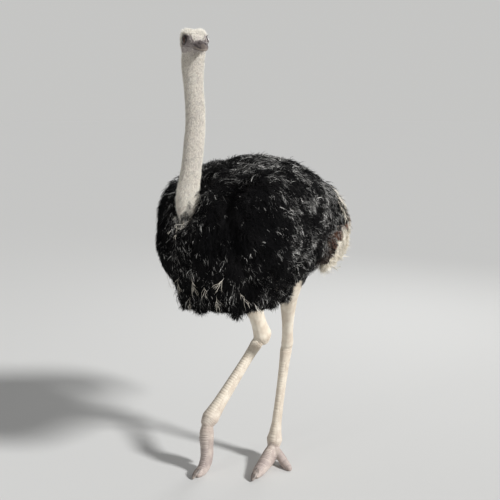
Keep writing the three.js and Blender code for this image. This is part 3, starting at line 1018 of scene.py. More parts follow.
def body_plumes(seed=11):
    rng = np.random.default_rng(seed)
    starts = coat.scattered(BODY_SPACING, seed, on_body)
    count = len(starts)
    wild = wildness(starts)
    # The second number also sets how many blades get a painted highlight.
    weathered_and_glinting = weathering_and_glints(starts)
    length = (0.085 + 0.08 * wild) * rng.uniform(0.75, 1.25, count)
    vent = smooth_step(0.05, 0.15, starts[:, 1]) * smooth_step(1.08, 0.95, starts[:, 2])
    length *= 1 - 0.4 * vent
    shape = np.array([-0.055, -0.022, -0.006, -0.001, 0.0, 0.001, 0.003])
    lifts = shape[None] + (waves(starts, 0.11, 8) * 0.005 + rng.normal(0, 0.004, count) * wild)[:, None]
    swirl = swirled(starts, 0.5, rng)
    hang = rng.uniform(0.0, 0.012, count)
    shafts, _ = combed(coat, starts, body_lie, length, lifts, swirl, hang)
    over = np.array([on_tail(shafts[:, k]) for k in range(SHAFT_STEPS)])
    clear = np.where(over.any(axis=0), over.argmax(axis=0), SHAFT_STEPS) / SHAFT_STEPS
    clear = np.minimum(1, clear + 0.5 * np.maximum(0, waves(starts, 0.03, 19)) * rng.random(count))
    shafts, tops = combed(coat, starts, body_lie, length * np.maximum(clear, 0.4), lifts, swirl, hang)
    shafts = locked(starts, shafts, 0.055, 0.25 + 0.35 * wild, rng)
    belly = smooth_step(0.3, -0.5, tops[:, :, 2])
    shafts[:, :, 2] += BELLY_ROOM * belly
    slim = bump(starts, (-0.24, -0.25, 0.96), (0.12, 0.2, 0.13)) * FLANK_ROOM
    shafts -= tops * slim[:, None, None]
    barb_length = (0.036 + 0.016 * wild) * np.maximum(clear, 0.6) * (1 - 0.3 * belly[:, -1])
    uv = body_uv(shafts[:, 0])
    middles = shafts[:, SHAFT_STEPS // 2]
    near_tail = (starts[:, 1] > 0.05) & (tail_reach(middles) + rng.normal(0, 0.02, count) > -0.06)
    brown = near_tail & (middles[:, 2] + rng.normal(0, 0.03, count) < BROWN_BELOW)
    rusty = near_tail & ~brown & (middles[:, 2] < 1.2) & (rng.random(count) < 0.55)
    black = ~brown & ~rusty
    sorts = (("plumage", black, BLACK), ("vent_plumage", brown, BROWN), ("rusty_plumage", rusty, RUSTY))
    for name, chosen, material in sorts:
        in_pieces(name, starts[chosen], shafts[chosen], tops[chosen], uv[chosen], BODY_BARBS,
                  barb_length[chosen], BODY_BLADE, weathered_and_glinting[chosen], material, "plumage", rng)


COLLAR_BARBS = 7
NECK_RADIUS = 0.058


def collar_plumes(seed=12):
    """Short black plumes that run down off the foot of the neck and break up the white's edge."""
    rng = np.random.default_rng(seed)

    def at_collar(places):
        off = around(places, SPINES["neck"], NECK_FRONT)[2]
        foot = (off < 0.1) & (places[:, 2] < 1.5) & (places[:, 2] > collar_height(places) - 0.02)
        return foot & ((off > NECK_RADIUS) | (places[:, 2] < collar_height(places) + 0.08))

    starts = coat.scattered(0.0105, seed, at_collar)
    high = (starts[:, 2] - collar_height(starts)) / 0.07
    flared = around(starts, SPINES["neck"], NECK_FRONT)[2] > NECK_RADIUS
    starts = starts[flared | (rng.random(len(starts)) > np.clip(high, 0, 1) ** 0.8)]
    count = len(starts)
    lifts = FLAT_LIFTS[None] + rng.normal(0, 0.0015, (count, 1))
    shafts, tops = combed(coat, starts, body_lie, rng.uniform(0.04, 0.07, count), lifts,
                          swirled(starts, 0.5, rng), np.zeros(count))
    in_pieces("collar_plumes", starts, shafts, tops, body_uv(shafts[:, 0]), COLLAR_BARBS,
              np.full(count, 0.017), FINE_BLADE, np.full(count, 0.55), BLACK, "plumage", rng)


body_plumes()
collar_plumes()

# %% [markdown]
# ## The tail
# The tail plumes of a cock are long, loose and cream-white. Next to the body they are rusty high up
# and brown below; the dark brown low down between wing and thigh is partly painted shade. They fall
# in several layers, so their roots start at different depths and their tips part into locks. Thin
# pale wisps stand for the white quills at the rear edge of the wings, and a few more hang low on
# the breast and round the foot of the neck.

# %% Grow the tail and the pale wisps
TAIL_BARBS = 19
TAIL_BLADE = 0.0023
TAIL_WILDNESS = 1.2


def tail_lie(places):
    lie = np.tile([0.0, 0.5, -0.86], (len(places), 1))
    lie[:, 0] += 1.6 * (places[:, 0] - (TAIL_LOW[0] + TAIL_HIGH[0]) / 2)
    return unit(lie)


def tail_plumes(seed=31):
    rng = np.random.default_rng(seed)
    starts = coat.scattered(0.017, seed, on_tail)
    count = len(starts)
    length = rng.uniform(0.1, 0.2, count) * np.interp(starts[:, 2], [0.92, 1.08], [0.45, 1.0])
    depth = rng.uniform(-0.03, 0.0, count)
    shape = np.array([-0.05, -0.02, -0.004, 0.0, 0.001, 0.0, -0.002])
    swirl = swirled(starts, 0.6, rng)
    lifts = shape[None] + depth[:, None]
    shafts, tops = combed(coat, starts, tail_lie, length, lifts, swirl, rng.uniform(0.0, 0.01, count))
    shafts = locked(starts, shafts, 0.06, 0.45, rng)
    uv = body_uv(shafts[:, 0])
    belly = smooth_step(0.3, -0.5, tops[:, :, 2])
    shafts[:, :, 2] += BELLY_ROOM * belly
    barb_length = rng.uniform(0.045, 0.065, count) * (1 - 0.4 * belly[:, -1])
    middles = shafts[:, SHAFT_STEPS // 2]
    heights = middles[:, 2]
    edge = 0.018 + 2.6 * (heights - 1.09) ** 2 + 0.045 * smooth_step(1.12, 1.18, heights)
    edge += 0.012 * waves(middles, 0.05, 13)
    hidden = tail_reach(middles) + rng.normal(0, 0.013, count) < edge
    high = heights + rng.normal(0, 0.02, count) > BROWN_BELOW
    # The low brown plumes next to the body are partly painted shade, between wing and thigh.
    rusty, dark = hidden & high, hidden & ~high
    sorts = (("tail_plumes", ~rusty & ~dark, CREAM), ("tail_coverts", rusty & ~dark, RUSTY),
             ("tail_edge", dark, BROWN))
    for name, chosen, material in sorts:
        in_pieces(name, starts[chosen], shafts[chosen], tops[chosen], uv[chosen], TAIL_BARBS,
                  barb_length[chosen], TAIL_BLADE, np.full(chosen.sum(), TAIL_WILDNESS), material,
                  "tail", rng)


def wisps(name, spacing, seed, keep, length, barbs, barb_length, lift, blade=0.0018):
    rng = np.random.default_rng(seed)
    starts = coat.scattered(spacing, seed, keep)
    count = len(starts)
    lengths = length * rng.uniform(0.7, 1.3, count)
    shape = np.array([-0.03, -0.008, 0.0, 0.003, 0.005, 0.007, 0.008]) + lift
    lifts = np.repeat(shape[None], count, axis=0)
    shafts, tops = combed(coat, starts, body_lie, lengths, lifts, swirled(starts, 0.7, rng),
                          np.full(count, 0.01))
    in_pieces(name, starts, shafts, tops, body_uv(shafts[:, 0]), barbs, np.full(count, barb_length),
              blade, np.full(count, 1.6), CREAM, "tail", rng, shaft_width=0.0004, ragged=0.5,
              spread=(38, 12))


def on_rump(places):
    """The rear edge of the folded wings, where their white quills show."""
    return bump(beside_body(places), (0.18, 0.28, 1.31), (0.08, 0.12, 0.1)) > 0.25


def below_collar(places):
    off = around(places, SPINES["neck"], NECK_FRONT)[2]
    return (off < 0.066) & (np.abs(places[:, 2] - NECK_DOWN_END + 0.01) < 0.03)


def low_on_breast(places):
    return (np.abs(places[:, 2] - 0.99) < 0.07) & (places[:, 1] < -0.25) & (np.abs(places[:, 0]) < 0.2)


tail_plumes()
wisps("rump_wisps", spacing=0.026, seed=41, keep=on_rump, length=0.09, barbs=8,
      barb_length=0.035, lift=0.0)
wisps("breast_wisps", spacing=0.075, seed=42, keep=low_on_breast, length=0.06, barbs=3,
      barb_length=0.045, lift=0.0, blade=0.0012)
wisps("collar_wisps", spacing=0.02, seed=43, keep=below_collar, length=0.035, barbs=3,
      barb_length=0.022, lift=0.002, blade=0.0008)

# %% [markdown]
# ## The head's own frame
# The bird has turned its head to one side and dipped its bill, so world axes are no help in
# shaping the face. The eyes and the bill tip tell us where the head points: one axis runs through
# both eyes, one straight ahead, one up through the crown. Every point gets its place in that
# frame as "left", "ahead" and "up", measured from the middle between the eyes.

# %% Find the head's frame
EYE_RADIUS = 0.023
EYE_OUT = 0.03
BILL_DIP = math.radians(10.3)


def middle_of(node):
    low, high = box_of(node)
    return (low + high) / 2


HEAD = (middle_of("eye_left") + middle_of("eye_right")) / 2
HEAD_LEFT = unit(middle_of("eye_left") - middle_of("eye_right"))
bill_points = node_points("bill_upper")
bill_tip = bill_points[np.argmax(((bill_points - HEAD) ** 2).sum(axis=1))]
bill_line = bill_tip - HEAD
bill_line = unit(bill_line - HEAD_LEFT * (bill_line @ HEAD_LEFT))
bill_up = np.cross(bill_line, HEAD_LEFT)
bill_up = bill_up * np.sign(bill_up[2])
HEAD_AHEAD = bill_line * math.cos(BILL_DIP) + bill_up * math.sin(BILL_DIP)
HEAD_UP = bill_up * math.cos(BILL_DIP) - bill_line * math.sin(BILL_DIP)
HEAD_FRAME = np.stack([HEAD_LEFT, HEAD_AHEAD, HEAD_UP])


def in_head(points):
    return (points - HEAD) @ HEAD_FRAME.T


def from_head(places):
    return HEAD + np.asarray(places) @ HEAD_FRAME


def one_side(places):
    """Places in the head's frame with both sides laid over each other."""
    return np.column_stack([np.abs(places[:, 0]), places[:, 1], places[:, 2]])


def near_head(points):
    places = in_head(points)
    return (np.linalg.norm(places, axis=1) < 0.125) & (places[:, 2] - 0.45 * places[:, 1] > -0.062)


print("the head looks toward", HEAD_AHEAD.round(2).tolist())

# %% [markdown]
# ## Face and eyelids
# The remeshed head is smooth and blank. We split its faces once over the whole head and once more
# round the eyes, and then move each corner. Near an eye, corners go out or in along lines through
# the middle of the eyeball: to a lid just outside it, with a thicker rim, or, inside the almond
# of the opening, down below its surface. Brow, cheek, ear and the fold behind the bill are soft
# bumps and hollows.

# %% Sculpt the head
LID_WIDTH = 0.7
LID_HEIGHT = 0.5
LID_THICK = 0.0022


def lidded(places, side):
    """Moves corners in the head's frame to shape both lids of one eye."""
    middle = np.array([side * EYE_OUT, 0, 0])
    away = places - middle
    radius = np.linalg.norm(away, axis=1)
    out, ahead, up = (away / np.maximum(radius, 1e-6)[:, None]).T
    out = out * side
    slant = up - 0.12 * ahead
    opening = np.sqrt((ahead / LID_WIDTH) ** 2 + (slant / LID_HEIGHT) ** 2)
    rim = 0.0014 * np.exp(-((opening - 1.1) / 0.09) ** 2)
    fold = 0.0011 * np.exp(-((opening - 1.5) / 0.1) ** 2) * (up > 0)
    lid = EYE_RADIUS + LID_THICK + rim - fold
    wanted = lid + (EYE_RADIUS - 0.006 - lid) * smooth_step(1.03, 0.95, opening)
    share = smooth_step(1.95, 1.4, opening) * smooth_step(0.1, 0.35, out) * (radius < 0.045)
    moved = radius + (wanted - radius) * share
    return middle + away * (moved / np.maximum(radius, 1e-6))[:, None]


def face_relief(places):
    """How far each corner moves out along its normal, in the head's frame."""
    mirrored = one_side(places)
    relief = 0.0042 * bump(mirrored, (0.042, 0.006, 0.021), (0.012, 0.02, 0.006))
    relief += 0.0025 * bump(mirrored, (0.04, -0.02, 0.018), (0.012, 0.016, 0.007))
    relief -= 0.0022 * bump(mirrored, (0.04, 0.012, -0.021), (0.014, 0.02, 0.004))
    relief += 0.003 * bump(mirrored, (0.04, -0.022, -0.034), (0.016, 0.018, 0.012))
    relief -= 0.0022 * bump(mirrored, (0.034, 0.026, -0.0195), (0.016, 0.022, 0.0022))
    relief -= 0.0055 * bump(mirrored, (0.048, -0.045, -0.01), (0.02, 0.005, 0.0065))
    relief += 0.002 * bump(mirrored, (0.048, -0.045, -0.01), (0.02, 0.011, 0.0125))
    relief -= 0.0012 * bump(mirrored, (0.0, 0.0, 0.04), (0.006, 0.05, 0.02))
    folds = np.sin(mirrored[:, 0] * 900 + mirrored[:, 1] * 120) * smooth_step(-0.03, -0.045, places[:, 2])
    return relief + 0.0006 * folds


def normals_of(piece):
    values = np.empty(len(piece.data.vertices) * 3, dtype=np.float32)
    piece.data.vertex_normals.foreach_get("vector", values)
    return values.reshape(-1, 3).astype(float)


def sculpt_head():
    refined(skin, near_head(corners_of(skin)))
    for passes in (4, 3):
        points = corners_of(skin)
        from_eye = np.linalg.norm(one_side(in_head(points)) - [EYE_OUT, 0, 0], axis=1)
        inside = near_head(points) if passes == 4 else from_eye < 0.04
        if passes == 3:
            refined(skin, inside)
            points = corners_of(skin)
            inside = near_head(points)
        set_corners(skin, relaxed(points, edges_of(skin), passes, 1.0 - inside))
    points = corners_of(skin)
    head = near_head(points)
    out = face_relief(in_head(points)) * head
    places = in_head(points) + (normals_of(skin) * out[:, None]) @ HEAD_FRAME.T
    for side in SIDES.values():
        places = lidded(places, side)
    points[head] = from_head(places[head])
    set_corners(skin, points)


sculpt_head()
print("the skin now has", len(skin.data.polygons), "faces")

# %% [markdown]
# ## Where the down grows
# The neck and crown wear white down, thinner toward the face, and the skin there must lie deeper
# than the outside of the down. The face and legs are bare. We work out for each corner of the
# skin how much down it carries, and move it inward by that share of the down's depth. Where a
# claw will lie over a toe, the skin is drawn back under the horn.

# %% Sink the skin under the down
DOWN_DEPTH = 0.0045


def face_share(points):
    """1 on the bare face: round the eyes, the lores, the cheeks and the chin; 0 under the down."""
    side, ahead, up = one_side(in_head(points)).T
    forehead = smooth_step(0.018, 0.026, side + 0.25 * (0.05 - ahead) + 0.6 * (0.005 - up))
    bare = smooth_step(-0.036, -0.02, ahead) * smooth_step(0.026, 0.018, up) * forehead
    bare *= smooth_step(-0.056, -0.036, up - 0.2 * ahead + 0.004 * waves(points, 0.02, 17))
    return bare * near_head(points)


def down_share(points):
    """1 where the neck is covered in down, thinning out to 0 on the face and below the collar."""
    _, _, off = around(points, SPINES["neck"], NECK_FRONT)
    up_neck = np.maximum(smooth_step(0.072, 0.056, off), near_head(points))
    above = points[:, 2] - collar_height(points)
    return up_neck * smooth_step(-0.06, 0.05, above) * (1 - face_share(points))


CUTICLE = 0.0015


def outer_claw(name):
    """The side of a claw that shows: its faces that look away from the toe's line."""
    corners, faces = flesh(f"claw_{name}")
    corners, faces = np.asarray(corners), np.asarray(faces)
    middles = corners[faces].mean(axis=1)
    first, second, third = (corners[faces[:, i]] for i in range(3))
    normals = unit(np.cross(second - first, third - first))
    line = SPINES[f"toe_{name}"]
    nearest = line[((middles[:, None] - line[None]) ** 2).sum(axis=2).argmin(axis=1)]
    return corners, faces[((middles - nearest) * normals).sum(axis=1) > 0]


def off_claws(points):
    """Draws the skin back under the horn of each claw, from the cuticle on."""
    for name in SIDES:
        low, high = box_of(f"claw_{name}")
        near = np.nonzero(((points > low - 0.02) & (points < high + 0.02)).all(axis=1))[0]
        spots, normals = Guide(*outer_claw(name)).nearest(points[near])
        gap = np.linalg.norm(points[near] - spots, axis=1)
        share = smooth_step(high[1] - 0.004, high[1] - 0.016, points[near][:, 1])
        share *= smooth_step(0.018, 0.012, gap) * smooth_step(-0.2, 0.1, normals[:, 2])
        points[near] += (spots - normals * CUTICLE - points[near]) * share[:, None]
    return points


skin_points = slimmed_neck(corners_of(skin))
skin_points -= normals_of(skin) * (down_share(skin_points) * DOWN_DEPTH)[:, None]
skin_points = off_claws(skin_points)
set_corners(skin, skin_points)
skin_guide = Guide(skin_points, triangles_of(skin))
print("down covers", round(float(down_share(skin_points).mean() * 100), 1), "% of the skin's corners")

# %% [markdown]
# ## Down and bristles
# Down is made of small tapered tufts, five corners each. A tuft leaves the skin at a steep angle
# and bends over to lie along it. The same function grows the down of the neck, the bristles of
# crown and face and the lashes: they differ in length, in stiffness and in how far they stand up.
# A short fringe of black plumes, grown with the coat's own tools, lies over part of the thighs'
# tops. It doesn't go all round them, so some of the upper edge of the bare skin shows.

# %% Grow the down
TUFT_CORNERS = 5


def tufts(guide, roots, lie, length, width, stand, ruffle, roots_uv, rng):
    """Tapered tufts rooted in a surface. stand is 0 for flat and 1 for upright."""
    roots, normals = guide.nearest(roots)
    count = len(roots)
    length, width, stand = (np.broadcast_to(value, count)[:, None] for value in (length, width, stand))
    lie = lie - normals * (lie * normals).sum(axis=1)[:, None]
    heading = unit(unit(lie) + rng.normal(0, ruffle, (count, 3)))
    first = unit(heading * (1 - stand) + normals * (0.5 + stand))
    second = unit(heading * (1.2 - stand) + normals * stand + rng.normal(0, ruffle * 0.5, (count, 3)))
    across = unit(np.cross(first, normals + rng.normal(0, 0.5, (count, 3)))) * width / 2
    base = roots - normals * 0.001
    middle = base + first * length * 0.45
    tip = middle + second * length * 0.55
    rails = [base - across, base + across, middle - across * 0.8, middle + across * 0.8]
    corners = np.stack(rails + [tip], axis=1)
    start = (np.arange(count) * TUFT_CORNERS)[:, None]
    along = np.tile([0.0, 0.0, 0.5, 0.5, 1.0], count)
    tint, other = (np.repeat(rng.random(count), TUFT_CORNERS) for _ in range(2))
    tone = np.stack([tint, along, other, np.ones(TUFT_CORNERS * count)], axis=1)
    inset = np.tile(np.array([[-0.5, -0.5], [0.5, -0.5], [-0.5, 0.0], [0.5, 0.0], [0.0, 0.5]]), (count, 1))
    return {
        "corners": corners.reshape(-1, 3),
        "quads": start + [0, 1, 3, 2],
        "tips": start + [2, 3, 4],
        "tone": tone,
        "uv": np.repeat(roots_uv, TUFT_CORNERS, axis=0) + inset * PATCH,
    }


def neck_uv(places):
    share, turn, _ = around(places, SPINES["neck"], NECK_FRONT)
    return np.column_stack([turn * 0.48, 0.02 + share * 0.36])


def down_material():
    material, tree, shader = new_material("white_down", Roughness=0.85, Specular_IOR_Level=0.2)
    tone = put(tree, "Attribute", attribute_name="tone")
    split = put(tree, "SeparateColor", tone.outputs["Color"])
    place = object_place(tree)
    # The grey speckle, and the dark specks high on the neck, stand partly for skin between the tufts and
    # partly for painted shade.
    speckle = noise(tree, place, 60.0, 2.0)
    grey = blend(tree, ramp(tree, speckle, 0.3, 0.5), shade(0.5, 0.48, 0.46), shade(0.94, 0.89, 0.8))
    height = put(tree, "SeparateXYZ", place).outputs[2]
    high = times(tree, ramp(tree, height, 1.32, 1.5), ramp(tree, height, 1.99, 1.96))
    specks = ramp(tree, noise(tree, place, 130.0, 2.0), 0.52, 0.62)
    grey = blend(tree, times(tree, split.outputs[0], 0.5), grey, shade(0.5, 0.47, 0.45))
    speckle_and_shade = times(tree, times(tree, specks, high), 0.75)
    grey = blend(tree, speckle_and_shade, grey, shade(0.2, 0.18, 0.17))
    white = blend(tree, split.outputs[1], grey, shade(0.97, 0.94, 0.86))
    tree.links.new(white, shader.inputs["Base Color"])
    return material


WHITE_DOWN = down_material()
NECK_TUFTS = 105000
CROWN_TUFTS = 14000
FACE_TUFTS = 2600


def neck_down(seed=51):
    rng = np.random.default_rng(seed)
    starts = skin_guide.sprinkled(NECK_TUFTS, seed, lambda places: down_share(places) > 0.02)
    ragged = down_share(starts) + rng.normal(0, 0.28, len(starts))
    starts = starts[(ragged > 0.5) & ~(near_head(starts) & (in_head(starts)[:, 2] > 0.0))]
    count = len(starts)
    low = smooth_step(1.5, 1.32, starts[:, 2])
    length = (0.0085 + 0.006 * low) * rng.uniform(0.7, 1.3, count)
    lie = np.tile([0.0, -0.1, -1.0], (count, 1))
    for number, chunk in enumerate(np.array_split(np.argsort(starts[:, 2]), 2)):
        grown = tufts(skin_guide, starts[chunk], lie[chunk], length[chunk], width=0.0009, stand=0.2,
                      ruffle=0.45, roots_uv=neck_uv(starts[chunk]), rng=rng)
        dressed(f"neck_down_{number + 1}", grown, WHITE_DOWN)
    print("the neck has", count, "tufts of down")


def crown_bristles(seed=52):
    rng = np.random.default_rng(seed)

    def on_crown(places):
        return near_head(places) & (down_share(places) > 0.02)

    starts = skin_guide.sprinkled(CROWN_TUFTS, seed, on_crown)
    places = in_head(starts)
    starts = starts[(places[:, 2] > -0.005) & (down_share(starts) > rng.random(len(starts)) * 0.6)]
    places = in_head(starts)
    count = len(starts)
    lobe = np.exp(-((np.abs(places[:, 0]) - 0.03) / 0.016) ** 2) * smooth_step(-0.005, 0.03, places[:, 2])
    front = smooth_step(0.0, 0.04, places[:, 1])
    length = (0.008 + 0.008 * lobe - 0.003 * front) * rng.uniform(0.6, 1.4, count)
    lie = -HEAD_AHEAD * 0.8 - UP * 0.2 + HEAD_LEFT * np.sign(places[:, :1]) * 0.6
    stand = np.clip(0.45 + 0.3 * lobe - 0.2 * front, 0.2, 0.8)
    grown = tufts(skin_guide, starts, lie, length, width=0.0011, stand=stand, ruffle=0.3,
                  roots_uv=neck_uv(starts), rng=rng)
    dressed("crown_bristles", grown, WHITE_DOWN)
    print("the crown has", count, "bristles")


def face_bristles(seed=53):
    """Sparse short bristles that carry the edge of the down over the bare cheeks."""
    rng = np.random.default_rng(seed)

    def on_face(places):
        return near_head(places) & (face_share(places) > 0.02)

    starts = skin_guide.sprinkled(FACE_TUFTS, seed, on_face)
    places = in_head(starts)
    mirrored = np.abs(places[:, 0])
    eye = np.linalg.norm(np.column_stack([mirrored - EYE_OUT, places[:, 1], places[:, 2]]), axis=1)
    starts = starts[(eye > 0.031) & (places[:, 1] < 0.062)]
    count = len(starts)
    lie = -HEAD_AHEAD - UP * 0.5
    length = rng.uniform(0.003, 0.0065, count)
    grown = tufts(skin_guide, starts, lie, length, width=0.0005, stand=0.2, ruffle=0.35,
                  roots_uv=neck_uv(starts), rng=rng)
    dressed("face_bristles", grown, WHITE_DOWN)
    print("the face has", count, "bristles")


def below_thigh_top(places, name):
    """How far below the top of a thigh each place is, with a wavy edge round the thigh."""
    return box_of(f"drumstick_{name}")[1][2] + 0.008 * waves(places, 0.05, 45) - places[:, 2]


FRINGE_BARBS = 6
FRINGE_LIFTS = np.array([-0.004, 0.0, 0.001, 0.002, 0.003, 0.003, 0.004])


def thigh_fringe(seed=44):
    """Short black plumes over part of the top of each thigh, where it leaves the coat."""
    rng = np.random.default_rng(seed)

    def on_thigh(places):
        found = np.zeros(len(places), dtype=bool)
        for name in SIDES:
            off = around(places, SPINES[f"drumstick_{name}"], LEG_FRONT)[2]
            below = below_thigh_top(places, name)
            found |= (off < 0.11) & (below > -0.04) & (below < 0.028)
        return found

    starts = skin_guide.scattered(0.0075, seed, on_thigh)
    count = len(starts)
    lifts = FRINGE_LIFTS[None] + rng.normal(0, 0.0012, (count, 1))
    shafts, tops = combed(skin_guide, starts, body_lie, rng.uniform(0.028, 0.045, count), lifts,
                          swirled(starts, 0.4, rng), np.full(count, 0.006))
    in_pieces("thigh_fringe", starts, shafts, tops, body_uv(shafts[:, 0]), FRINGE_BARBS,
              np.full(count, 0.016), FINE_BLADE, np.full(count, 0.5), BLACK, "plumage", rng)


neck_down()
crown_bristles()
face_bristles()
thigh_fringe()

# %% [markdown]
# ## Skin colours
# One material covers the whole skin. What it looks like at each place comes from numbers stored
# on the corners: whether plumage hides it, how far down a leg it is, how bare a part of the face
# it is, and how much painted shade it gets round the eyes, on the lores, in the corner of the
# mouth and in the ear. The skin under the plumage is painted near black, so that the gaps between
# plumes read as shade. Scales and pores are bumps: rounded cells from the hocks down, and fine
# wrinkles everywhere. Ring folds in the same relief cross each hock and the joint above the toes,
# and their troughs are darkened with painted shade.

# %% Mark the zones and colour the skin
FACE_DARK = shade(0.2, 0.17, 0.17)
FACE_LIGHT = shade(0.34, 0.3, 0.285)
LIMB_REACH = {"drumstick": 0.11, "tarsus": 0.06, "toe": 0.06, "side_toe": 0.05}
LIMB_SHARES = {"drumstick": (0.1, 0.4), "tarsus": (0.5, 0.35), "toe": (0.85, 0.15), "side_toe": (0.9, 0.1)}
BARE_BELOW = 0.03


def leg_share(points):
    """0 off the legs, then from 0.1 at the top of the thigh over 0.5 at the hock to 1 at the toes."""
    result = np.zeros(len(points))
    for name in SIDES:
        thigh = SPINES[f"drumstick_{name}"]
        hock = around(SPINES[f"tarsus_{name}"][:1], thigh, LEG_FRONT)[0]
        for part in LIMB_PARTS:
            share, _, off = around(points, SPINES[f"{part}_{name}"], LEG_FRONT)
            here = off < LIMB_REACH[part]
            if part == "drumstick":
                share = np.minimum(share / hock, 1)
                here &= below_thigh_top(points, name) > BARE_BELOW
            else:
                here &= share > 0.002
            first, more = LIMB_SHARES[part]
            value = first + more * share
            if part in ("toe", "side_toe"):
                value = value * smooth_step(0.06, 0.035, off)
            result[here] = np.maximum(result[here], value[here])
    return result


def painted_shade_share(points):
    """Up to 1 where the face gets painted shade: round the lid rims, on the lores, in the corner of the
    mouth and in the ear.
    """
    mirrored = one_side(in_head(points))
    away = mirrored - [EYE_OUT, 0, 0]
    away = away / np.maximum(np.linalg.norm(away, axis=1), 1e-6)[:, None]
    slant = away[:, 2] - 0.12 * away[:, 1]
    opening = np.sqrt((away[:, 1] / LID_WIDTH) ** 2 + (slant / LID_HEIGHT) ** 2)
    rim = 0.75 * smooth_step(1.6, 1.2, opening) + 0.25 * smooth_step(1.15, 1.05, opening)
    dark = rim * (away[:, 0] > 0.2)
    dark = np.maximum(dark, 0.8 * bump(mirrored, (0.034, 0.026, -0.0195), (0.016, 0.024, 0.003)))
    dark = np.maximum(dark, 0.9 * bump(mirrored, (0.048, -0.045, -0.01), (0.02, 0.005, 0.006)))
    lores = np.minimum(0.8, 1.1 * bump(mirrored, (0.02, 0.034, -0.001), (0.02, 0.032, 0.017)))
    return np.maximum(dark, lores) * near_head(points)


def mark_skin():
    points = corners_of(skin)
    legs = leg_share(points)
    trunk = (legs == 0) & (down_share(points) < 0.5) & ~near_head(points)
    zone = np.column_stack([trunk, legs, face_share(points), painted_shade_share(points)])
    note_corners(skin.data, "zone", zone)


def skin_material():
    material, tree, shader = new_material("skin", Specular_IOR_Level=0.35)
    zone = put(tree, "Attribute", attribute_name="zone")
    covered, leg, face = put(tree, "SeparateColor", zone.outputs["Color"]).outputs
    painted_shade = zone.outputs["Alpha"]
    place = object_place(tree)
    mottle = noise(tree, place, 22.0, 4.0)
    fine = noise(tree, place, 160.0, 3.0)
    neck = blend(tree, ramp(tree, fine, 0.35, 0.65), shade(0.42, 0.36, 0.33), shade(0.62, 0.55, 0.5))
    bare = blend(tree, ramp(tree, mottle, 0.35, 0.65), FACE_DARK, FACE_LIGHT)
    cream = blend(tree, ramp(tree, mottle, 0.35, 0.7), shade(0.67, 0.58, 0.47), shade(0.82, 0.75, 0.63))
    foot = blend(tree, ramp(tree, mottle, 0.35, 0.65), shade(0.38, 0.31, 0.29), shade(0.56, 0.48, 0.43))
    limb = blend(tree, ramp(tree, leg, 0.74, 0.95), cream, foot)
    scales = put(tree, "TexVoronoi", place, None, 210.0, feature="DISTANCE_TO_EDGE").outputs[0]
    seams = times(tree, ramp(tree, scales, 0.12, 0.0), ramp(tree, leg, 0.45, 0.6))
    limb = blend(tree, times(tree, seams, 0.45), limb, shade(0.28, 0.22, 0.19))
    wavy = plus(tree, times(tree, leg, 900.0), times(tree, mottle, 16.0))
    hock = times(tree, ramp(tree, leg, 0.465, 0.49), ramp(tree, leg, 0.54, 0.515))
    knuckle = times(tree, ramp(tree, leg, 0.8, 0.83), ramp(tree, leg, 0.89, 0.865))
    joint = plus(tree, hock, knuckle)
    fold = times(tree, worked(tree, "SINE", wavy, 0.0), joint)
    # Painted shade in the troughs of the ring folds at hock and toe joint.
    fold_shade = times(tree, ramp(tree, fold, -0.1, -1.0), 0.22)
    limb = blend(tree, fold_shade, limb, shade(0.3, 0.22, 0.19))
    colour = blend(tree, face, neck, bare)
    colour = blend(tree, ramp(tree, leg, 0.0, 0.1), colour, limb)
    # Painted shade round the eyes, on the lores, in the corner of the mouth and in the ear.
    colour = blend(tree, painted_shade, colour, shade(0.07, 0.05, 0.05))
    # Painted shade: the skin under the plumage is near black, so the gaps between plumes read as shade.
    colour = blend(tree, covered, colour, shade(0.02, 0.018, 0.018))
    tree.links.new(colour, shader.inputs["Base Color"])
    roughened(tree, shader, mottle, 0.5, 0.72)
    rounded = times(tree, ramp(tree, scales, 0.0, 0.3), ramp(tree, leg, 0.45, 0.6))
    creases = noise(tree, place, 70.0, 5.0)
    height = plus(tree, times(tree, rounded, 0.9), times(tree, creases, 0.8))
    height = plus(tree, height, times(tree, fine, 0.35))
    height = plus(tree, height, times(tree, fold, 0.7))
    bumped(tree, shader, height, 0.55, 0.0012)
    return material


def smooth(piece):
    piece.data.polygons.foreach_set("use_smooth", [True] * len(piece.data.polygons))


mark_skin()
skin.data.materials.append(skin_material())
smooth(skin)
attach(skin, "root")
LIMB_NODES = [f"{part}_{name}" for name in SIDES for part in LIMB_PARTS]
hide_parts("trunk", "tail", "neck_lower", "neck_upper", "head", "wing_left", "wing_right", *LIMB_NODES)
print("the skin replaces", 7 + len(LIMB_NODES), "solids")

# %% [markdown]
# ## Eyes
# An ostrich eye is the largest of any land animal, about 50 mm across, and 46 mm on this bird.
# Each one is a globe with its pole on the axis of the eye, and a cornea that bulges a little. The
# pupil is wide, the iris a dark reddish brown, and a clear wet coat gives both eyes their
# highlights.

# %% Make the eyes
EYE_RINGS = 48
EYE_SPOKES = 64
CORNEA = math.radians(36)


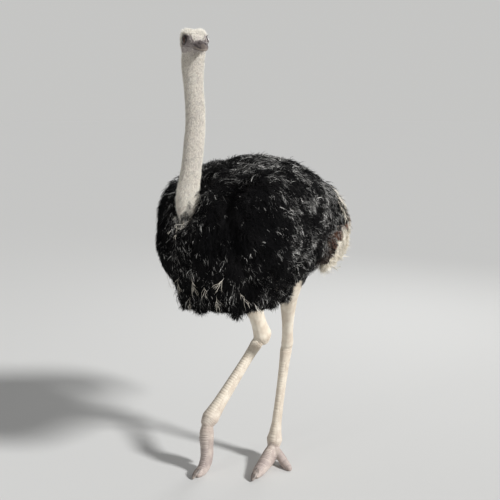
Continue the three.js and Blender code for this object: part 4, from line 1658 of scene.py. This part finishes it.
def eye_piece(name, side):
    middle = middle_of(f"eye_{name}")
    angle = np.linspace(0, math.pi, EYE_RINGS)
    turn = np.linspace(0, 2 * math.pi, EYE_SPOKES, endpoint=False)
    bulge = 0.0013 * smooth_step(CORNEA, 0.0, angle)
    radius = (EYE_RADIUS + bulge)[:, None, None]
    axis = HEAD_LEFT * side
    ring = np.cos(turn)[:, None] * HEAD_AHEAD + np.sin(turn)[:, None] * HEAD_UP
    cosine, sine = np.cos(angle)[:, None, None], np.sin(angle)[:, None, None]
    points = middle + radius * (cosine * axis + sine * ring[None])
    i, j = np.meshgrid(np.arange(EYE_RINGS - 1), np.arange(EYE_SPOKES), indexing="ij")
    a, b = i * EYE_SPOKES + j, i * EYE_SPOKES + (j + 1) % EYE_SPOKES
    faces = np.stack([a, a + EYE_SPOKES, b + EYE_SPOKES, b], axis=-1).reshape(-1, 4)
    if side < 0:
        faces = faces[:, ::-1]
    piece = mesh_piece(f"globe_{name}", points.reshape(-1, 3), [faces])
    tone = np.zeros((len(points) * EYE_SPOKES, 4))
    tone[:, 0] = np.repeat(angle / math.pi, EYE_SPOKES)
    tone[:, 1] = np.tile(turn / (2 * math.pi), EYE_RINGS)
    note_corners(piece.data, "gaze", tone)
    piece.data.materials.append(EYE)
    smooth(piece)
    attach(piece, "root")
    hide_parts(f"eye_{name}")
    return piece


def eye_material():
    material, tree, shader = new_material("wet_eye", Roughness=0.35, Specular_IOR_Level=0.1,
                                          Coat_Weight=0.7, Coat_Roughness=0.02)
    gaze = put(tree, "Attribute", attribute_name="gaze")
    angle = put(tree, "SeparateColor", gaze.outputs["Color"]).outputs[0]
    place = object_place(tree)
    fibres = noise(tree, place, 900.0, 3.0)
    iris = blend(tree, fibres, shade(0.022, 0.009, 0.006), shade(0.09, 0.036, 0.02))
    colour = blend(tree, ramp(tree, angle, 0.105, 0.118), shade(0.002, 0.002, 0.002), iris)
    colour = blend(tree, ramp(tree, angle, 0.215, 0.24), colour, shade(0.008, 0.006, 0.005))
    colour = blend(tree, ramp(tree, angle, 0.3, 0.36), colour, shade(0.05, 0.035, 0.035))
    tree.links.new(colour, shader.inputs["Base Color"])
    return material


EYE = eye_material()
for name, side in SIDES.items():
    eye_piece(name, side)
print("two eyes of", round(EYE_RADIUS * 2000), "mm")

# %% [markdown]
# ## Bill and claws
# Bill and claws are horn over bone. Each starts as a finely melted copy of its own solid, smoothed.
# Both halves of the bill are slimmed, and the upper one gets its nostrils, a raised nail at the
# tip and a groove along the edge. The claws are made a little thicker, and their material gives
# them the mottled look of worn horn.

# %% Carve the horn
def horn_copy(name, node, voxel, passes):
    piece = melted(name, [flesh(node)], voxel)
    set_corners(piece, relaxed(corners_of(piece), edges_of(piece), passes))
    smooth(piece)
    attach(piece, "root")
    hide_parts(node)
    return piece


NOSTRIL = (0.0125, 0.083, -0.003)


def jaw_line(along):
    """The height at which both halves of the bill meet."""
    return -0.0177 - 0.09 * np.clip(along - 0.06, 0, 1)


def off_nail(mirrored):
    """Below 1 on the raised nail at the tip of the bill."""
    return np.sqrt((mirrored[:, 0] / 0.0155) ** 2 + ((mirrored[:, 1] - 0.128) / 0.034) ** 2)


HORN_VOXEL = 0.0013
CLAW_THICKNESS = 0.0015


def bill_shape(places):
    """Slims the bill where it meets the face and toward its tip, and keeps the jaw shallow."""
    along = places[:, 1]
    slim = np.interp(along, [0.042, 0.055, 0.075, 0.095, 0.126], [0.7, 0.74, 0.78, 0.78, 0.62])
    meeting = jaw_line(along)
    high = np.interp(along, [0.042, 0.07, 0.1, 0.126], [0.84, 0.86, 0.86, 0.74])
    flat = np.where(places[:, 2] < meeting, 0.68, high)
    ridge = 0.0025 * np.exp(-(places[:, 0] / 0.009) ** 2) * (places[:, 2] > meeting + 0.004)
    return np.column_stack([places[:, 0] * slim, along, meeting + (places[:, 2] - meeting) * flat + ridge])


def bill_relief(places):
    mirrored = one_side(places)
    top = smooth_step(-0.022, -0.016, places[:, 2])
    relief = -0.0042 * bump(mirrored, NOSTRIL, (0.0022, 0.0085, 0.02)) * top
    relief += 0.0009 * bump(mirrored, NOSTRIL, (0.0055, 0.0135, 0.02)) * top
    nail = off_nail(mirrored)
    relief += top * (0.0011 * smooth_step(1.0, 0.85, nail) - 0.0008 * np.exp(-((nail - 1.06) / 0.05) ** 2))
    relief -= 0.0008 * top * np.exp(-((mirrored[:, 0] - 0.018 + 0.1 * (places[:, 1] - 0.08)) / 0.0018) ** 2)
    return relief


def bill_material():
    material, tree, shader = new_material("bill_horn", Specular_IOR_Level=0.35)
    place = object_place(tree)
    tone = put(tree, "Attribute", attribute_name="horn")
    nail, edge, nostril_shade = put(tree, "SeparateColor", tone.outputs["Color"]).outputs
    mottle = noise(tree, place, 90.0, 4.0)
    # The horn colour is dark, partly its own colour and partly painted shade.
    colour = blend(tree, ramp(tree, mottle, 0.3, 0.7), shade(0.05, 0.04, 0.042), shade(0.12, 0.098, 0.092))
    face = blend(tree, ramp(tree, mottle, 0.35, 0.65), FACE_DARK, FACE_LIGHT)
    colour = blend(tree, tone.outputs["Alpha"], colour, face)
    colour = blend(tree, times(tree, nail, 0.7), colour, shade(0.17, 0.14, 0.12))
    colour = blend(tree, times(tree, edge, 0.8), colour, shade(0.55, 0.47, 0.4))
    # Painted shade in the nostrils.
    colour = blend(tree, nostril_shade, colour, shade(0.03, 0.02, 0.02))
    tree.links.new(colour, shader.inputs["Base Color"])
    roughened(tree, shader, mottle, 0.4, 0.64)
    fine = noise(tree, place, 420.0, 4.0)
    bumped(tree, shader, fine, 0.4, 0.0005)
    return material


def claw_material():
    material, tree, shader = new_material("claw_horn", Specular_IOR_Level=0.45)
    place = object_place(tree)
    bands = noise(tree, place, 60.0, 5.0)
    colour = blend(tree, ramp(tree, bands, 0.35, 0.65), shade(0.13, 0.11, 0.1), shade(0.32, 0.27, 0.24))
    tree.links.new(colour, shader.inputs["Base Color"])
    roughened(tree, shader, bands, 0.35, 0.6)
    bumped(tree, shader, bands, 0.5, 0.0006)
    return material


def make_bill():
    horn = bill_material()
    for name in ("bill_upper", "bill_lower"):
        piece = horn_copy(f"horn_{name}", name, HORN_VOXEL, passes=14)
        points = from_head(bill_shape(in_head(corners_of(piece))))
        set_corners(piece, points)
        places = in_head(points)
        relief = bill_relief(places) if name == "bill_upper" else np.zeros(len(points))
        points += normals_of(piece) * relief[:, None]
        set_corners(piece, points)
        mirrored = one_side(places)
        nail = smooth_step(1.05, 0.9, off_nail(mirrored))
        edge = np.exp(-((places[:, 2] - jaw_line(places[:, 1])) / 0.0032) ** 2)
        # Painted shade in the nostril pits.
        nostril_shade = bump(mirrored, NOSTRIL, (0.0026, 0.0085, 0.02)) * (name == "bill_upper")
        skinny = 0.8 * smooth_step(0.082, 0.05, places[:, 1] + 0.4 * np.clip(0.02 - mirrored[:, 0], 0, 1))
        note_corners(piece.data, "horn", np.column_stack([nail, edge, nostril_shade, skinny]))
        piece.data.materials.append(horn)


make_bill()
claw_horn = claw_material()
for name in SIDES:
    claw = horn_copy(f"horn_claw_{name}", f"claw_{name}", HORN_VOXEL, passes=10)
    set_corners(claw, corners_of(claw) + normals_of(claw) * CLAW_THICKNESS)
    claw.data.materials.append(claw_horn)
print("carved the bill and", len(SIDES), "claws")

# %% [markdown]
# ## Scutes
# Broad plates run down the front of each shank and over the top of each toe, and overlap like
# roof tiles. For each plate we shoot a small grid of rays at the leg from outside, which gives
# places on its skin. The plate stands highest above them just short of its lower edge, and its
# rim dips a little under the skin all round.

# %% Lay the scutes
SCUTE_ROWS = np.array([0.0, 0.3, 0.65, 0.94, 1.0])
SCUTE_LIFT = np.array([-0.3, 0.35, 0.75, 1.0, -0.3])
SCUTE_SPOKES = np.linspace(-1, 1, 9)


def scute_row(line, front, low, high, half_angle, thick, rng):
    """Corners of one plate that lies on the skin between two shares of a limb's line."""
    lean = rng.normal(0, 0.06)
    half_angle = half_angle * rng.uniform(0.88, 1.1)
    corners = []
    for row, lift in zip(SCUTE_ROWS, SCUTE_LIFT):
        for spoke in SCUTE_SPOKES:
            share = low + (high - low) * (row + 0.16 * (1 - spoke ** 2) + 0.15 * lean * spoke)
            spot = at_share(line, np.clip(share, 0, 1))
            below, above = at_share(line, min(share + 0.02, 1.0)), at_share(line, max(share - 0.02, 0.0))
            run = unit((below - above)[None])[0]
            ahead = unit((front - run * (run @ front))[None])[0]
            angle = spoke * half_angle + lean
            out = ahead * math.cos(angle) + np.cross(run, ahead) * math.sin(angle)
            hit, normal, _, _ = skin_guide.tree.ray_cast(Vector(spot + out * 0.09), Vector(-out), 0.09)
            if hit is None:
                return None
            rise = thick * lift * (1 - spoke ** 6) - 0.0004 * spoke ** 6
            corners.append(np.array(hit) + np.array(normal) * rise)
    return corners


def scutes(name, line, front, share_from, share_to, pitch, half_angle, thick, leg_from, leg_to, seed):
    rng = np.random.default_rng(seed)
    front = np.array(front, dtype=float)
    length = np.linalg.norm(np.diff(line, axis=0), axis=1).sum()
    count = int((share_to - share_from) * length / pitch)
    edges = np.linspace(share_from, share_to, count + 1)
    edges = edges + rng.uniform(-0.2, 0.2, count + 1) * pitch / length
    corners, faces, tone = [], [], []
    wide, tall = len(SCUTE_SPOKES), len(SCUTE_ROWS)
    for low, high in zip(edges[:-1], edges[1:]):
        plate = scute_row(line, front, low, high + 0.1 * (high - low), half_angle, thick, rng)
        if plate is None:
            continue
        start = len(corners)
        corners += plate
        leg = leg_from + (leg_to - leg_from) * low
        tint = rng.random()
        tone += [[leg, row, tint, 1.0] for row in SCUTE_ROWS for _ in SCUTE_SPOKES]
        cells = [start + i * wide + j for i in range(tall - 1) for j in range(wide - 1)]
        faces += [[cell, cell + wide, cell + wide + 1, cell + 1] for cell in cells]
    corners = np.array(corners)
    share, turn, _ = around(corners, line, front)
    grown = {"corners": corners, "quads": np.array(faces), "tips": np.zeros((0, 3), dtype=int),
             "tone": np.array(tone), "uv": np.column_stack([0.5 + 0.5 * turn, 0.02 + 0.36 * share])}
    piece = dressed(name, grown, SCUTE)
    smooth(piece)
    return count


def scute_material():
    material, tree, shader = new_material("scutes", Specular_IOR_Level=0.4)
    tone = put(tree, "Attribute", attribute_name="tone")
    leg, row, tint = put(tree, "SeparateColor", tone.outputs["Color"]).outputs
    place = object_place(tree)
    mottle = noise(tree, place, 60.0, 4.0)
    mixed = plus(tree, times(tree, tint, 0.5), times(tree, mottle, 0.5))
    cream = blend(tree, mixed, shade(0.64, 0.55, 0.44), shade(0.84, 0.77, 0.65))
    foot = blend(tree, mixed, shade(0.32, 0.26, 0.25), shade(0.58, 0.5, 0.45))
    colour = blend(tree, ramp(tree, leg, 0.74, 0.95), cream, foot)
    # Painted shade: each plate is darker along the edge that tucks under the plate before it.
    colour = blend(tree, times(tree, ramp(tree, row, 0.3, 0.0), 0.7), colour, shade(0.2, 0.15, 0.13))
    tree.links.new(colour, shader.inputs["Base Color"])
    roughened(tree, shader, mottle, 0.4, 0.62)
    bumped(tree, shader, mottle, 0.4, 0.0008)
    return material


SCUTE = scute_material()
SHANK_FRONT = [0, -1.0, 0.15]
TOE_TOP = [0, -0.35, 1.0]
plates = 0
for number, name in enumerate(SIDES):
    plates += scutes(f"shank_scutes_{name}", SPINES[f"tarsus_{name}"], SHANK_FRONT, share_from=0.14,
                     share_to=0.91, pitch=0.0125, half_angle=0.95, thick=0.0009, leg_from=0.5,
                     leg_to=0.85, seed=61 + number)
    line = SPINES[f"toe_{name}"]
    to_claw = float((line[:, 1] > box_of(f"claw_{name}")[1][1] - 0.008).mean())
    plates += scutes(f"toe_scutes_{name}", line, TOE_TOP, share_from=0.1, share_to=to_claw,
                     pitch=0.0105, half_angle=0.95, thick=0.0024, leg_from=0.86, leg_to=1.0,
                     seed=63 + number)
    plates += scutes(f"side_toe_scutes_{name}", SPINES[f"side_toe_{name}"], TOE_TOP, share_from=0.2,
                     share_to=0.93, pitch=0.0085, half_angle=0.9, thick=0.0018, leg_from=0.9,
                     leg_to=1.0, seed=65 + number)
print("laid", plates, "plates")

# %% [markdown]
# ## Lashes
# The long black lashes of an ostrich aren't hairs but feathers without barbs. They fan outward
# from the rims of both lids, and those of the upper lid are about twice as long.

# %% Plant the lashes
def lash_material():
    material, tree, shader = new_material("lashes", Roughness=0.5)
    place = object_place(tree)
    mottle = noise(tree, place, 200.0, 2.0)
    colour = blend(tree, mottle, shade(0.004, 0.003, 0.003), shade(0.03, 0.022, 0.02))
    tree.links.new(colour, shader.inputs["Base Color"])
    return material


def lashes(name, side, seed):
    rng = np.random.default_rng(seed)
    turn = np.concatenate([np.linspace(0.1, 0.9, 44), np.linspace(1.15, 1.85, 20)]) * math.pi
    turn += rng.normal(0, 0.02, len(turn))
    upper = np.sin(turn) > 0
    ahead = LID_WIDTH * 1.06 * np.cos(turn)
    up = LID_HEIGHT * 1.06 * np.sin(turn) + 0.12 * ahead
    out = np.sqrt(np.clip(1 - ahead ** 2 - up ** 2, 0.05, 1))
    away = np.column_stack([out * side, ahead, up])
    roots = from_head(np.array([side * EYE_OUT, 0, 0]) + away * (EYE_RADIUS + LID_THICK))
    sideways = 0.5 * side * np.ones(len(turn))
    lie = unit(np.column_stack([sideways, ahead * 1.2, np.where(upper, 0.9, -0.8)])) @ HEAD_FRAME
    length = np.where(upper, 0.013, 0.007) * rng.uniform(0.8, 1.2, len(turn))
    grown = tufts(skin_guide, roots, lie, length, width=0.0006, stand=0.55, ruffle=0.12,
                  roots_uv=neck_uv(roots), rng=rng)
    dressed(f"lashes_{name}", grown, LASH)
    return len(turn)


LASH = lash_material()
print("planted", sum(lashes(name, side, 71) for name, side in SIDES.items()), "lashes")
